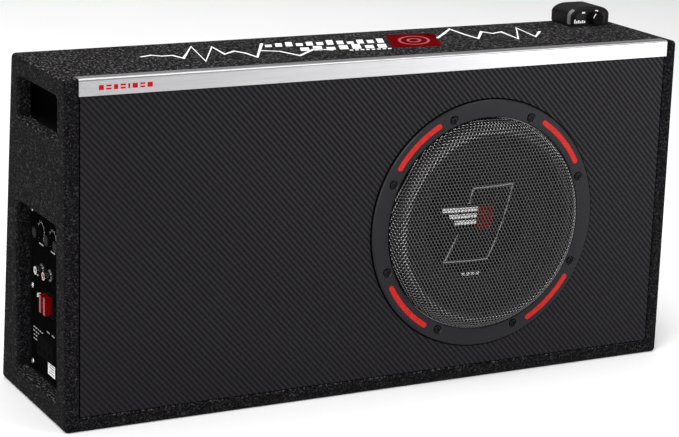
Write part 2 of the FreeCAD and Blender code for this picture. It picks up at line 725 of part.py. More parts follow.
def rca_inserts():
    """Coloured core and collar of each line input."""
    inserts = []
    for y in RCA_Y:
        core = rod_x(3.35, y, RCA_Z, outside(8.5), outside(-7.5))
        inserts.append(core.cut(rod_x(1.65, y, RCA_Z, outside(9.5), outside(-0.5))))
        inserts.append(tube_x(6.3, RCA_TAIL_R + 0.05, y, RCA_Z, outside(1.7), PLATE_OUT))
    return inserts


def remote_port():
    """Modular socket for the remote control's cable."""
    body = box(outside(1.5), outside(-12.5), JACK_Y - 6.9, JACK_Y + 6.9, RCA_Z - 6.4, RCA_Z + 6.4)
    mouth = box(outside(2.5), outside(-10), JACK_Y - 5.0, JACK_Y + 5.0, RCA_Z - 4.4, RCA_Z + 2.6)
    notch = box(outside(2.5), outside(-10), JACK_Y - 2.2, JACK_Y + 2.2, RCA_Z + 2.6, RCA_Z + 4.6)
    return body.cut(mouth).cut(notch)


def power_led():
    y, z = LED_AT
    lens = rod_x(2.5, y, z, outside(1.6), outside(-5.5))
    return softened(lens, 1.4, lambda e: rounded_end(e, outside(1.6)))


def phase_slider():
    """Sliding button of the phase switch, with three grip grooves."""
    y, z = PHASE_AT
    slider = box(outside(3.0), outside(-6.2), y - 1.2, y + 1.2, z - 2.0, z + 2.0)
    for dz in (-1.1, 0.0, 1.1):
        slider = slider.cut(box(outside(4.0), outside(2.6), y - 2, y + 2, z + dz - 0.2, z + dz + 0.2))
    return slider


def speaker_input_socket():
    """Four-pin socket for speaker-level input: a nylon shroud and its pins."""
    y, z = INPUT_AT
    shroud = box(outside(4.5), outside(-9.5), y - 9.8, y + 9.8, z - 4.8, z + 4.8)
    shroud = shroud.cut(box(outside(6.0), outside(-7.5), y - 8.4, y + 8.4, z - 3.4, z + 3.4))
    pins = [box(outside(-3.0), outside(-7.5), y + dy - 0.5, y + dy + 0.5, z - 0.5, z + 0.5)
            for dy in (-6, -2, 2, 6)]
    return [shroud] + pins


def power_terminal_block():
    """Three screw-terminal housings, for supply, remote turn-on and earth, each with a bore for its wire."""
    poles = []
    for y in POLE_Y:
        pole = box(outside(POLE_PROUD), PLATE_OUT, y - 7.4, y + 7.4, *POLE_Z)
        pole = softened(pole, 0.6, lambda e: abs(e.CenterOfMass.x - outside(POLE_PROUD)) < 1e-3)
        pole = pole.cut(rod_x(WIRE_BORE, y, WIRE_Z, outside(POLE_PROUD + 1), outside(1.0)))
        pole = pole.cut(rod_x(2.9, y, CLAMP_Z, outside(POLE_PROUD + 1), outside(3.5)))
        poles.append(pole)
    return poles


def terminal_screws():
    screws = []
    for y in POLE_Y:
        screw = rod_x(2.8, y, CLAMP_Z, outside(POLE_PROUD - 1.4), outside(3.5))
        slot = box(outside(POLE_PROUD), outside(POLE_PROUD - 2.6), y - 3.0, y + 3.0,
                   CLAMP_Z - 0.45, CLAMP_Z + 0.45)
        screws.append(screw.cut(slot))
    return screws


def fuse_holder():
    block = box(outside(2.5), outside(-9.5), FUSE_Y[0] - 7.8, FUSE_Y[1] + 7.8, FUSE_Z - 12.8, FUSE_Z + 12.8)
    for y in FUSE_Y:
        block = block.cut(box(outside(3.5), outside(0.7), y - 3.1, y + 3.1, FUSE_Z - 10.6, FUSE_Z + 10.6))
        for dz in (-6.6, 6.6):
            slot = box(outside(1.5), outside(-8.5), y - 0.8, y + 0.8, FUSE_Z + dz - 3.0, FUSE_Z + dz + 3.0)
            block = block.cut(slot)
    return block


def blade_fuse(y):
    """Plug-in fuse: coloured body with a stepped grip, and two blades."""
    body = joined([box(outside(9.7), outside(3.9), y - 2.6, y + 2.6, FUSE_Z - 9.6, FUSE_Z + 9.6),
                   box(outside(3.9), outside(1.0), y - 1.9, y + 1.9, FUSE_Z - 8.8, FUSE_Z + 8.8)])
    body = softened(body, 0.5, lambda e: abs(e.CenterOfMass.x - outside(9.7)) < 1e-3)
    for side in (-2.6, 2.6):
        for dz in (-6.6, 6.6):
            pocket = box(outside(8.3), outside(5.1), y + side - 0.5, y + side + 0.5,
                         FUSE_Z + dz - 1.9, FUSE_Z + dz + 1.9)
            body = body.cut(pocket)
    blades = [box(outside(1.0), outside(-7.7), y - 0.35, y + 0.35, FUSE_Z + dz - 2.6, FUSE_Z + dz + 2.6)
              for dz in (-6.6, 6.6)]
    return [body] + blades


# ---- speaker leads -------------------------------------------------------------------------------
LEAD_R = 1.6
LEAD_START = (-204.8, -20.0, 120.0)            # where the pair leaves the amplifier's end
LEAD_BENDS = [(-160.0, -20.0, 120.0), (-112.0, -32.0, 108.0), (-60.0, -38.0, 104.0), (-12.0, -42.0, 118.0)]


def rounded_path(points):
    """Straight runs joined by tangent arcs, each as large as its two runs allow."""
    edges, begin = [], points[0]
    for before, corner, after in zip(points, points[1:], points[2:]):
        run_in, run_out = corner - before, after - corner
        reach = 0.45 * min(run_in.Length, run_out.Length)
        a = corner - run_in.normalize() * reach
        b = corner + run_out.normalize() * reach
        turn = run_in.getAngle(run_out)
        radius = reach / math.tan(turn / 2)
        inward = (run_out - run_in).normalize()
        middle = corner + inward * (radius / math.cos(turn / 2) - radius)
        edges.append(Part.LineSegment(begin, a).toShape())
        edges.append(Part.Arc(a, middle, b).toShape())
        begin = b
    edges.append(Part.LineSegment(begin, points[-1]).toShape())
    return Part.Wire(edges)


def speaker_leads():
    """The pair from the amplifier to the driver's terminals, held at both ends."""
    leads = []
    for dz in (-6.0, 6.0):
        end = V(DRIVER_X - 80.0, -46.8, TERMINAL_Z + dz)
        points = [V(*LEAD_START) + V(0, 0, dz)] + [V(*p) + V(0, 0, dz) for p in LEAD_BENDS]
        points += [end - V(26.0, 0, 0), end]
        path = rounded_path(points)
        profile = Part.Wire(Part.makeCircle(LEAD_R, points[0], points[1] - points[0]))
        tube = path.makePipeShell([profile], True, False)
        leads.append(tube)
    return leads


# ---- remote level control ------------------------------------------------------------------------
REMOTE_WALL = 2.0
REMOTE_SHOULDER = (18.0, 9.5)                  # how far an arched shoulder reaches across and down
REMOTE_EDGE = 6.0                              # rounding of the front and back edges
REMOTE_PANEL = 1.8
REMOTE_FLOOR = 2.5
REMOTE_KNOB = (321.0, HEIGHT + 9.4)
REMOTE_KNOB_R = 7.6
REMOTE_JACK_X = 314.0


def arched_outline(inset, low, y):
    """Wire of the remote's arched front view at this y, taken in evenly by inset."""
    x0, x1 = REMOTE_X[0] + inset, REMOTE_X[1] - inset
    across, down = REMOTE_SHOULDER[0] - inset, REMOTE_SHOULDER[1] - inset
    top = HEIGHT + REMOTE_TOP - inset
    spring = top - down
    left, right = x0 + across, x1 - across
    edges = [Part.makeLine(V(x0, y, spring), V(x0, y, low)), Part.makeLine(V(x0, y, low), V(x1, y, low)),
             Part.makeLine(V(x1, y, low), V(x1, y, spring)), Part.makeLine(V(left, y, top), V(right, y, top))]
    for side, centre in ((x0, left), (x1, right)):
        shoulder = Part.Ellipse(V(side, y, spring), V(centre, y, top), V(centre, y, spring))
        edges.append(shoulder.toShape(0, math.pi / 2))
    return Part.Wire(Part.__sortEdges__(edges))


def remote_block(inset, low):
    """The housing's outside, or its hollow when inset: an arch with rounded front and back edges."""
    y0, y1 = REMOTE_Y[0] + inset, REMOTE_Y[1] - inset
    block = Part.Face(arched_outline(inset, low, y0)).extrude(V(0, y1 - y0, 0))
    rims = [e for e in block.Edges if e.BoundBox.YLength < 1e-3 and e.BoundBox.ZMax > low + 1e-3]
    return block.makeFillet(REMOTE_EDGE - inset, rims)


def remote_housing():
    y0, low = REMOTE_Y[0], HEIGHT + REMOTE_FLOOR
    shell = remote_block(0, low).cut(remote_block(REMOTE_WALL, low - 5.0))
    face = Part.Face(arched_outline(REMOTE_EDGE, low - 1, y0 - 1)).extrude(V(0, REMOTE_WALL + 2, 0))
    back = REMOTE_Y[1]
    jack = box(REMOTE_JACK_X - 6.6, REMOTE_JACK_X + 6.6, back - 4, back + 1, low - 1, low + 11.6)
    return shell.cut(face).cut(jack)


def remote_base():
    x0, x1 = REMOTE_X
    y0, y1 = REMOTE_Y
    plate = box(x0 + 0.6, x1 - 0.6, y0 + 0.6, y1 - 0.6, HEIGHT, HEIGHT + REMOTE_FLOOR)
    return softened(plate, REMOTE_EDGE - 0.6, lambda e: along(e, V(0, 0, 1)))


def remote_front_panel():
    """Fascia set into the housing's front, with a hole for the knob's shaft."""
    y = REMOTE_Y[0] + 0.5
    outline = arched_outline(REMOTE_EDGE + 0.2, HEIGHT + REMOTE_FLOOR, y)
    panel = Part.Face(outline).extrude(V(0, REMOTE_PANEL, 0))
    return panel.cut(rod_y(3.6, *REMOTE_KNOB, y - 1, y + 3))


def remote_knob():
    x, z = REMOTE_KNOB
    face, back = REMOTE_Y[0] - 7.0, REMOTE_Y[0]
    knob = rod_y(REMOTE_KNOB_R, x, z, face, back)
    knob = softened(knob, 1.0, lambda e: rounded_face(e, face))
    for k in range(24):
        a = 2 * math.pi * k / 24
        gx, gz = x + REMOTE_KNOB_R * math.cos(a), z + REMOTE_KNOB_R * math.sin(a)
        knob = knob.cut(rod_y(0.5, gx, gz, face + 1.6, back + 1))
    knob = knob.cut(box(x - 0.5, x + 0.5, face - 1, face + 0.5, z + 1.5, z + REMOTE_KNOB_R + 1))
    return joined([knob, rod_y(3.0, x, z, back, REMOTE_Y[0] + 9.0)])


def remote_pot():
    x, z = REMOTE_KNOB
    y = REMOTE_Y[0] + 2.3
    body = box(x - 5.5, x + 5.5, y, y + 11.0, z - 5.5, z + 5.5)
    return body.cut(rod_y(3.05, x, z, y - 1, y + 7.4))


def remote_jack():
    """Modular socket that opens through the back of the housing."""
    x, low = REMOTE_JACK_X, HEIGHT + REMOTE_FLOOR
    y1 = REMOTE_Y[1]
    body = box(x - 6.4, x + 6.4, y1 - 15.0, y1 - 0.3, low, low + 11.4)
    mouth = box(x - 5.0, x + 5.0, y1 - 12.5, y1 + 1, low + 2.0, low + 8.6)
    notch = box(x - 2.2, x + 2.2, y1 - 12.5, y1 + 1, low + 8.6, low + 10.2)
    return body.cut(mouth).cut(notch)


# ---- export --------------------------------------------------------------------------------------
NODES = {
    "left_board": left_board, "right_board": right_board, "top_board": top_board, "bottom_board": bottom_board,
    "back_board": back_board, "baffle_board": baffle_board, "baffle_vinyl": baffle_vinyl,
    "port_floor_board": port_floor_board, "brace_board": brace_board,
    "carpet_left": carpet_left, "carpet_right": carpet_right, "carpet_top": carpet_top,
    "carpet_bottom": carpet_bottom, "carpet_back": carpet_back, "trim_angle": trim_angle,
    "driver_gasket": driver_gasket, "driver_basket": driver_basket, "surround": surround, "cone": cone,
    "dust_cap": dust_cap, "spider": spider, "voice_coil": voice_coil, "top_plate": top_plate, "magnet": magnet,
    "yoke": yoke, "driver_terminals": driver_terminals, "trim_ring": trim_ring, "accent_inserts": accent_inserts,
    "ring_screws": ring_screws, "grille": grille,
    "amp_mounting_frame": amp_mounting_frame, "amp_gasket": amp_gasket, "amp_plate": amp_plate,
    "amp_screws": amp_screws, "amp_heatsink": amp_heatsink, "amp_cover": amp_cover, "amp_pcb": amp_pcb,
    "amp_components": amp_components, "control_bodies": control_bodies,
    "gain_knob": lambda: control_knob("gain"), "crossover_knob": lambda: control_knob("crossover"),
    "boost_knob": lambda: control_knob("boost"), "rca_shells": rca_shells,
    "rca_inserts": rca_inserts, "remote_port": remote_port, "power_led": power_led,
    "phase_slider": phase_slider, "speaker_input_socket": speaker_input_socket,
    "power_terminal_block": power_terminal_block, "terminal_screws": terminal_screws, "fuse_holder": fuse_holder,
    "fuse_front": lambda: blade_fuse(FUSE_Y[0]), "fuse_rear": lambda: blade_fuse(FUSE_Y[1]),
    "speaker_leads": speaker_leads,
    "remote_base": remote_base, "remote_housing": remote_housing, "remote_front_panel": remote_front_panel,
    "remote_knob": remote_knob, "remote_pot": remote_pot, "remote_jack": remote_jack,
}


def main():
    os.makedirs("parts", exist_ok=True)
    for name, make in NODES.items():
        made = make()
        solids = [s for piece in (made if isinstance(made, list) else [made]) for s in piece.Solids]
        for s in solids:
            if not s.isValid() or s.Volume <= 0:
                print("bad solid in", name)
        shape = solids[0] if len(solids) == 1 else Part.makeCompound(solids)
        shape.exportStep(f"parts/{name}.step")
    print(len(NODES), "nodes")


main()
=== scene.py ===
"""Looks of a slim powered car subwoofer: materials, carpet, perforated grille, prints, light and camera."""

import json
import math

import bmesh
import bpy
from mathutils import Matrix, Vector


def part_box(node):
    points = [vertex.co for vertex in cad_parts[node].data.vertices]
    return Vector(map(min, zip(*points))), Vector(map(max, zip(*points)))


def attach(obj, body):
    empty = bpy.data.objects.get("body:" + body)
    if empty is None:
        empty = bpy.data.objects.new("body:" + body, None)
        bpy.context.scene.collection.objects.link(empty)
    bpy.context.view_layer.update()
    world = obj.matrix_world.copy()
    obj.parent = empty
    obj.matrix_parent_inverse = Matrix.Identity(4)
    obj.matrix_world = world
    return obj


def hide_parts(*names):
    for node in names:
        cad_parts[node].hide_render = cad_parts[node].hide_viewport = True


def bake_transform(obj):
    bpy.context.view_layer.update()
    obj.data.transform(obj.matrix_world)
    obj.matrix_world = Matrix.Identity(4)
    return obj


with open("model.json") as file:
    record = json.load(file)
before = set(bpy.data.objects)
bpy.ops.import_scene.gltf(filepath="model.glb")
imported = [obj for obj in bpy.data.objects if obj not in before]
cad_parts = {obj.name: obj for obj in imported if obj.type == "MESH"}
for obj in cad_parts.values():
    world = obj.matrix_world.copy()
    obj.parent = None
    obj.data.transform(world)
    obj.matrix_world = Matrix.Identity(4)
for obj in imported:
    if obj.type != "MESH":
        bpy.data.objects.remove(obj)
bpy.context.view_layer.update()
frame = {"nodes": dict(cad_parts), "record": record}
MM = 0.001

# ---- sizes that the looks share with the design, in metres ---------------------------------------
LOW, HIGH = 0, 1
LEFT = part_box("carpet_left")[LOW][0]
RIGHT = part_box("carpet_right")[HIGH][0]
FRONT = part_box("carpet_bottom")[LOW][1]
BACK_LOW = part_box("carpet_bottom")[HIGH][1]
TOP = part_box("carpet_left")[HIGH][2]
DEPTH_TOP = 159.0 * MM
CARPET = 2.0 * MM
EDGE = 14.0 * MM               # carpeted board edge that frames the front
INK_GAP = 0.02 * MM            # between a print and the surface under it
INK_THICK = 0.12 * MM
SECOND_COAT = 0.16 * MM        # where ink that is printed over other ink starts
PORT_OPENING = (-73.5 * MM, 40.0 * MM, 295.5 * MM, 339.5 * MM)
AMP_OPENING = (-70.0 * MM, 46.0 * MM, 25.0 * MM, 208.0 * MM)


def middle(node):
    low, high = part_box(node)
    return (Vector(low) + Vector(high)) / 2


def radius(node):
    """Half the width of a round node."""
    low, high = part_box(node)
    return (high[0] - low[0]) / 2


RING = middle("trim_ring")
DRIVER_X, DRIVER_Z = RING.x, RING.z
PLATE_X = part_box("amp_plate")[LOW][0]
TRIM_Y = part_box("trim_angle")[LOW][1]


# ---- material building blocks --------------------------------------------------------------------
class Look:
    """A node material while it is being built. Every pattern is in the object's own metres."""

    def __init__(self, name, rough=0.5, metal=0.0, **sockets):
        self.material = bpy.data.materials.new(name)
        self.material.use_nodes = True
        self.tree = self.material.node_tree
        self.shader = self.tree.nodes["Principled BSDF"]
        self.shader.inputs["Roughness"].default_value = rough
        self.shader.inputs["Metallic"].default_value = metal
        for socket, value in sockets.items():
            self.shader.inputs[socket.replace("_", " ")].default_value = value
        self.where = self.node("ShaderNodeTexCoord").outputs["Object"]

    def node(self, kind, **settings):
        made = self.tree.nodes.new(kind)
        for key, value in settings.items():
            setattr(made, key, value)
        return made

    def put(self, value, socket):
        """Links an output to a socket, or sets a plain value on it."""
        if isinstance(value, bpy.types.NodeSocket):
            self.tree.links.new(value, socket)
        else:
            socket.default_value = value

    def stretched(self, x, y, z):
        scaled = self.node("ShaderNodeMapping")
        self.put(self.where, scaled.inputs["Vector"])
        scaled.inputs["Scale"].default_value = (x, y, z)
        return scaled.outputs["Vector"]

    def noise(self, scale, detail=3.0, vector=None, rough=0.55):
        made = self.node("ShaderNodeTexNoise")
        self.put(vector or self.where, made.inputs["Vector"])
        made.inputs["Scale"].default_value = scale
        made.inputs["Detail"].default_value = detail
        made.inputs["Roughness"].default_value = rough
        return made.outputs["Fac"]

    def cells(self, scale):
        made = self.node("ShaderNodeTexVoronoi")
        self.put(self.where, made.inputs["Vector"])
        made.inputs["Scale"].default_value = scale
        return made.outputs["Distance"]

    def math(self, operation, a, b, c=0.5):
        """The third number only counts in an operation that takes three."""
        made = self.node("ShaderNodeMath", operation=operation)
        for socket, value in zip(made.inputs, (a, b, c)):
            self.put(value, socket)
        return made.outputs[0]

    def along(self, direction, vector=None):
        """How far a point lies along a direction, in that direction's own units."""
        made = self.node("ShaderNodeVectorMath", operation="DOT_PRODUCT")
        self.put(vector or self.where, made.inputs[0])
        made.inputs[1].default_value = direction
        return made.outputs["Value"]

    def waves(self, direction, pitch):
        """A smooth 0 to 1 wave with one crest for each pitch along a direction."""
        turns = self.along(Vector(direction).normalized() * (2 * math.pi / pitch))
        return self.math("MULTIPLY_ADD", self.math("SINE", turns, 0.0), 0.5, 0.5)

    def spread(self, value, low, high, out_low=0.0, out_high=1.0):
        made = self.node("ShaderNodeMapRange")
        for socket, number in zip(made.inputs, (value, low, high, out_low, out_high)):
            self.put(number, socket)
        return made.outputs["Result"]

    def ramp(self, value, *stops):
        """Colours at positions: each stop is (position, (r, g, b))."""
        made = self.node("ShaderNodeValToRGB")
        points = made.color_ramp.elements
        while len(points) < len(stops):
            points.new(0.5)
        for point, (position, colour) in zip(points, stops):
            point.position = position
            point.color = (*colour, 1.0)
        self.put(value, made.inputs["Fac"])
        return made.outputs["Color"]

    def mix(self, amount, a, b, blend="MIX"):
        made = self.node("ShaderNodeMix", data_type="RGBA", blend_type=blend)
        self.put(amount, made.inputs[0])
        for value, socket in ((a, made.inputs[6]), (b, made.inputs[7])):
            self.put(value if isinstance(value, bpy.types.NodeSocket) else (*value, 1.0), socket)
        return made.outputs[2]

    def colour(self, value):
        socket = self.shader.inputs["Base Color"]
        self.put(value if isinstance(value, bpy.types.NodeSocket) else (*value, 1.0), socket)

    def roughness(self, value):
        self.put(value, self.shader.inputs["Roughness"])

    def bump(self, height, distance, strength=1.0):
        """Adds a bump on top of any bump that is already there."""
        made = self.node("ShaderNodeBump")
        made.inputs["Strength"].default_value = strength
        made.inputs["Distance"].default_value = distance
        self.put(height, made.inputs["Height"])
        socket = self.shader.inputs["Normal"]
        if socket.is_linked:
            self.put(socket.links[0].from_socket, made.inputs["Normal"])
        self.put(made.outputs["Normal"], socket)


def shade(colour, factor):
    """A colour made darker or lighter."""
    return tuple(min(1.0, c * factor) for c in colour)


def moulded(name, colour, rough=0.45, grain=0.5, scale=1400.0, contrast=0.25, **sockets):
    """Moulded plastic or rubber: fine grain, slow colour drift and handling marks in the gloss."""
    look = Look(name, rough, **sockets)
    drift = look.noise(35.0, 2.0)
    fine = look.noise(scale, 4.0)
    tone = look.math("MULTIPLY_ADD", drift, 0.5, look.math("MULTIPLY", fine, 0.5))
    look.colour(look.ramp(tone, (0.3, shade(colour, 1 - contrast)), (0.7, shade(colour, 1 + contrast))))
    look.roughness(look.spread(look.noise(90.0, 4.0), 0.3, 0.7, rough * 0.85, min(1.0, rough * 1.15)))
    look.bump(fine, 0.04 * MM, grain)
    return look.material


def brushed(name, colour, rough=0.3, run=(25.0, 2600.0, 2600.0), contrast=0.12, **sockets):
    """Metal with fine streaks; run is small along the streaks and large across them."""
    look = Look(name, rough, 1.0, **sockets)
    streaks = look.noise(1.0, 5.0, look.stretched(*run), 0.7)
    cloud = look.noise(14.0, 2.0)
    shine = look.ramp(streaks, (0.3, shade(colour, 1 - contrast)), (0.7, shade(colour, 1 + contrast)))
    look.colour(look.mix(look.spread(cloud, 0.35, 0.65, 0.0, 0.25), shine, shade(colour, 0.85)))
    look.roughness(look.spread(streaks, 0.25, 0.75, rough * 0.8, rough * 1.25))
    look.bump(streaks, 0.03 * MM, 0.6)
    return look.material


def powder_coat(name, colour, rough=0.35, **sockets):
    """Sprayed or powder-coated steel with an orange-peel surface."""
    look = Look(name, rough, **sockets)
    peel = look.noise(900.0, 2.0)
    dust = look.noise(260.0, 5.0)
    look.colour(look.ramp(dust, (0.35, shade(colour, 0.75)), (0.62, colour), (0.8, shade(colour, 1.7))))
    look.roughness(look.spread(dust, 0.3, 0.75, rough * 0.85, rough * 1.3))
    look.bump(peel, 0.04 * MM, 0.5)
    return look.material


# ---- the visible materials -----------------------------------------------------------------------
def carpet_look():
    """Needle-punched felt: matted fibres lying front to back, pale flecks, small pits; paler top is painted
    light.
    """
    look = Look("carpet_felt", 0.95, Specular_IOR_Level=0.0, Sheen_Weight=0.03, Sheen_Roughness=0.4)
    grain = look.stretched(1.0, 0.36, 1.0)
    fibre = look.noise(560.0, 5.0, grain, 0.8)
    pale = look.noise(520.0, 2.0, grain, 0.6)
    upward = look.along((0.0, 0.0, 1.0), look.node("ShaderNodeTexCoord").outputs["Normal"])
    # painted top light: the flecks are added at full strength on upward faces and at 0.22 on upright ones
    wear_and_painted_top_light = look.spread(upward, 0.3, 0.9, 0.22, 1.0)
    tuft = look.cells(380.0)
    patch = look.noise(60.0, 3.0)
    felt = look.ramp(fibre, (0.38, (0.0012, 0.0011, 0.0013)), (0.50, (0.0046, 0.0042, 0.0048)),
                     (0.60, (0.0120, 0.0112, 0.0125)), (0.70, (0.030, 0.028, 0.030)))
    flecks = look.ramp(pale, (0.54, (0.0, 0.0, 0.0)), (0.66, (0.120, 0.114, 0.116)))
    pile = look.mix(wear_and_painted_top_light, felt, flecks, "ADD")
    look.colour(look.mix(look.spread(patch, 0.35, 0.65, 0.0, 0.35), pile, (0.0045, 0.0042, 0.0047)))
    look.bump(fibre, 1.0 * MM, 0.8)
    look.bump(tuft, 0.8 * MM, 0.4)
    return look.material


RIB_PITCH = 4.71 * MM
RIB_ANGLE = math.radians(42.3)


def carbon_vinyl_look():
    """Carbon-look vinyl: slanted ribs with a fine twill across them."""
    look = Look("carbon_vinyl", 0.42, Specular_IOR_Level=0.10)
    across = Vector((math.cos(RIB_ANGLE), 0.0, math.sin(RIB_ANGLE)))
    length = Vector((-math.sin(RIB_ANGLE), 0.0, math.cos(RIB_ANGLE)))
    rib = look.waves(across, RIB_PITCH)
    twill = look.waves(length + across * 0.45, RIB_PITCH * 0.42)
    wear_and_painted_top_light = look.noise(22.0, 3.0)
    thread = look.noise(1900.0, 3.0)
    band = look.ramp(rib, (0.20, (0.0014, 0.0011, 0.0018)), (0.55, (0.0040, 0.0034, 0.0050)),
                     (0.9, (0.0120, 0.0104, 0.0142)))
    woven = look.mix(look.spread(twill, 0.1, 0.9, 0.0, 0.25), band, (0.0030, 0.0026, 0.0038))
    look.colour(look.mix(look.spread(wear_and_painted_top_light, 0.4, 0.7, 0.0, 0.15), woven, (0.0060, 0.0054, 0.0072)))
    look.roughness(look.spread(rib, 0.0, 1.0, 0.55, 0.32))
    look.bump(rib, 0.45 * MM, 0.9)
    look.bump(twill, 0.08 * MM, 0.5)
    look.bump(thread, 0.03 * MM, 0.4)
    return look.material


def accent_look():
    """Red insert with a satin skin and a slow drift of colour."""
    look = Look("accent_red", 0.34, Specular_IOR_Level=0.12)
    drift = look.noise(160.0, 3.0)
    look.colour(look.ramp(drift, (0.3, (0.37, 0.0090, 0.0070)), (0.7, (0.46, 0.0140, 0.0110))))
    look.roughness(look.spread(look.noise(700.0, 3.0), 0.3, 0.7, 0.28, 0.40))
    look.bump(look.noise(1200.0, 2.0), 0.02 * MM, 0.4)
    return look.material


def near_black_board_look():
    """Near-black fibreboard, paler where fibres stand up."""
    look = Look("near_black_fibreboard", 0.85, Specular_IOR_Level=0.05)
    fibre = look.noise(1.0, 6.0, look.stretched(240.0, 240.0, 900.0), 0.7)
    look.colour(look.ramp(fibre, (0.3, (0.0015, 0.0014, 0.0014)), (0.6, (0.004, 0.0036, 0.0034)),
                          (0.8, (0.012, 0.010, 0.009))))
    look.roughness(look.spread(fibre, 0.3, 0.7, 0.75, 0.95))
    look.bump(fibre, 0.3 * MM, 0.6)
    return look.material


def foam_look():
    look = Look("closed_foam", 0.9)
    bubble = look.cells(1300.0)
    look.colour(look.ramp(bubble, (0.1, (0.006, 0.006, 0.006)), (0.6, (0.03, 0.03, 0.031))))
    look.bump(bubble, 0.2 * MM, 0.7)
    return look.material


def pulp_look(name, low, high):
    """Pressed pulp or woven cloth with a soft fibre pattern."""
    look = Look(name, 0.75, Specular_IOR_Level=0.1)
    fibre = look.noise(520.0, 6.0, rough=0.7)
    look.colour(look.ramp(fibre, (0.3, low), (0.7, high)))
    look.bump(fibre, 0.2 * MM, 0.6)
    return look.material


def winding_look():
    """Enamelled wire: one fine turn beside the next."""
    look = Look("copper_winding", 0.3, 0.9)
    turn = look.waves((0.0, 1.0, 0.0), 0.35 * MM)
    look.colour(look.ramp(turn, (0.2, (0.22, 0.07, 0.025)), (0.8, (0.72, 0.30, 0.12))))
    look.bump(turn, 0.1 * MM, 0.8)
    return look.material


def board_look():
    """Circuit board: solder resist over copper tracks."""
    look = Look("circuit_board", 0.35, Coat_Weight=0.3)
    track = look.math("GREATER_THAN", look.waves((1.0, 0.0, 0.35), 3.2 * MM), 0.55)
    lake = look.noise(150.0, 2.0)
    resist = look.mix(look.math("MULTIPLY", track, 0.6), (0.006, 0.07, 0.03), (0.015, 0.16, 0.06))
    look.colour(look.mix(look.spread(lake, 0.45, 0.55, 0.0, 0.5), resist, (0.01, 0.11, 0.045)))
    look.bump(track, 0.06 * MM, 0.6)
    return look.material


def components_look():
    """Sleeved capacitors, wound cores and transistors, told apart by where they stand on the board."""
    look = Look("board_parts", 0.4)
    turn = look.waves((0.3, 0.0, 1.0), 1.1 * MM)
    copper = look.ramp(turn, (0.2, (0.20, 0.065, 0.02)), (0.8, (0.62, 0.26, 0.09)))
    sleeve = look.ramp(look.noise(420.0, 4.0), (0.3, (0.008, 0.010, 0.022)), (0.7, (0.02, 0.024, 0.045)))
    wound = look.spread(look.along((1.0, 0.0, 0.0)), -0.290, -0.289)
    beyond = look.spread(look.along((1.0, 0.0, 0.0)), -0.243, -0.242)
    look.colour(look.mix(look.math("SUBTRACT", wound, beyond), sleeve, copper))
    look.bump(turn, 0.1 * MM, 0.3)
    return look.material


def rca_look():
    """Black collars, with one red and one white core told apart by the side of the gap between them."""
    look = Look("rca_colours", 0.32, Specular_IOR_Level=0.3)
    split = look.math("GREATER_THAN", look.along((0.0, 1.0, 0.0)), middle("rca_inserts").y)
    tint = look.mix(split, (0.26, 0.006, 0.006), (0.30, 0.295, 0.28))
    collar = look.math("GREATER_THAN", look.along((1.0, 0.0, 0.0)), PLATE_X - 2.0 * MM)
    speck = look.ramp(look.noise(900.0, 3.0), (0.3, (0.004, 0.004, 0.0045)), (0.7, (0.009, 0.009, 0.010)))
    look.colour(look.mix(collar, tint, speck))
    look.bump(look.noise(1600.0), 0.03 * MM, 0.4)
    return look.material


def leads_look():
    """A red and a black lead: the upper one is the positive."""
    look = Look("lead_insulation", 0.5)
    split = look.math("GREATER_THAN", look.along((0.0, 0.0, 1.0)), middle("speaker_leads").z)
    look.colour(look.mix(split, (0.012, 0.012, 0.013), (0.42, 0.012, 0.012)))
    look.bump(look.noise(1500.0), 0.05 * MM, 0.4)
    return look.material


def clear_tint(name, colour, rough, see_through):
    """Tinted clear moulding with flow marks."""
    look = Look(name, rough, Transmission_Weight=see_through, IOR=1.49, Specular_IOR_Level=0.12)
    flow = look.noise(1.0, 4.0, look.stretched(300.0, 300.0, 90.0))
    look.colour(look.ramp(flow, (0.3, shade(colour, 0.8)), (0.7, colour)))
    look.bump(flow, 0.03 * MM, 0.4)
    return look.material


def printed_look(name, colour):
    """Screen-printed ink: nearly even, with pinholes and a broken edge."""
    look = Look(name, 0.55, Specular_IOR_Level=0.0)
    hole = look.noise(1100.0, 4.0)
    look.colour(look.ramp(hole, (0.28, shade(colour, 0.45)), (0.40, colour), (0.75, shade(colour, 1.1))))
    look.roughness(look.spread(hole, 0.3, 0.7, 0.45, 0.65))
    look.bump(hole, 0.06 * MM, 0.5)
    return look.material


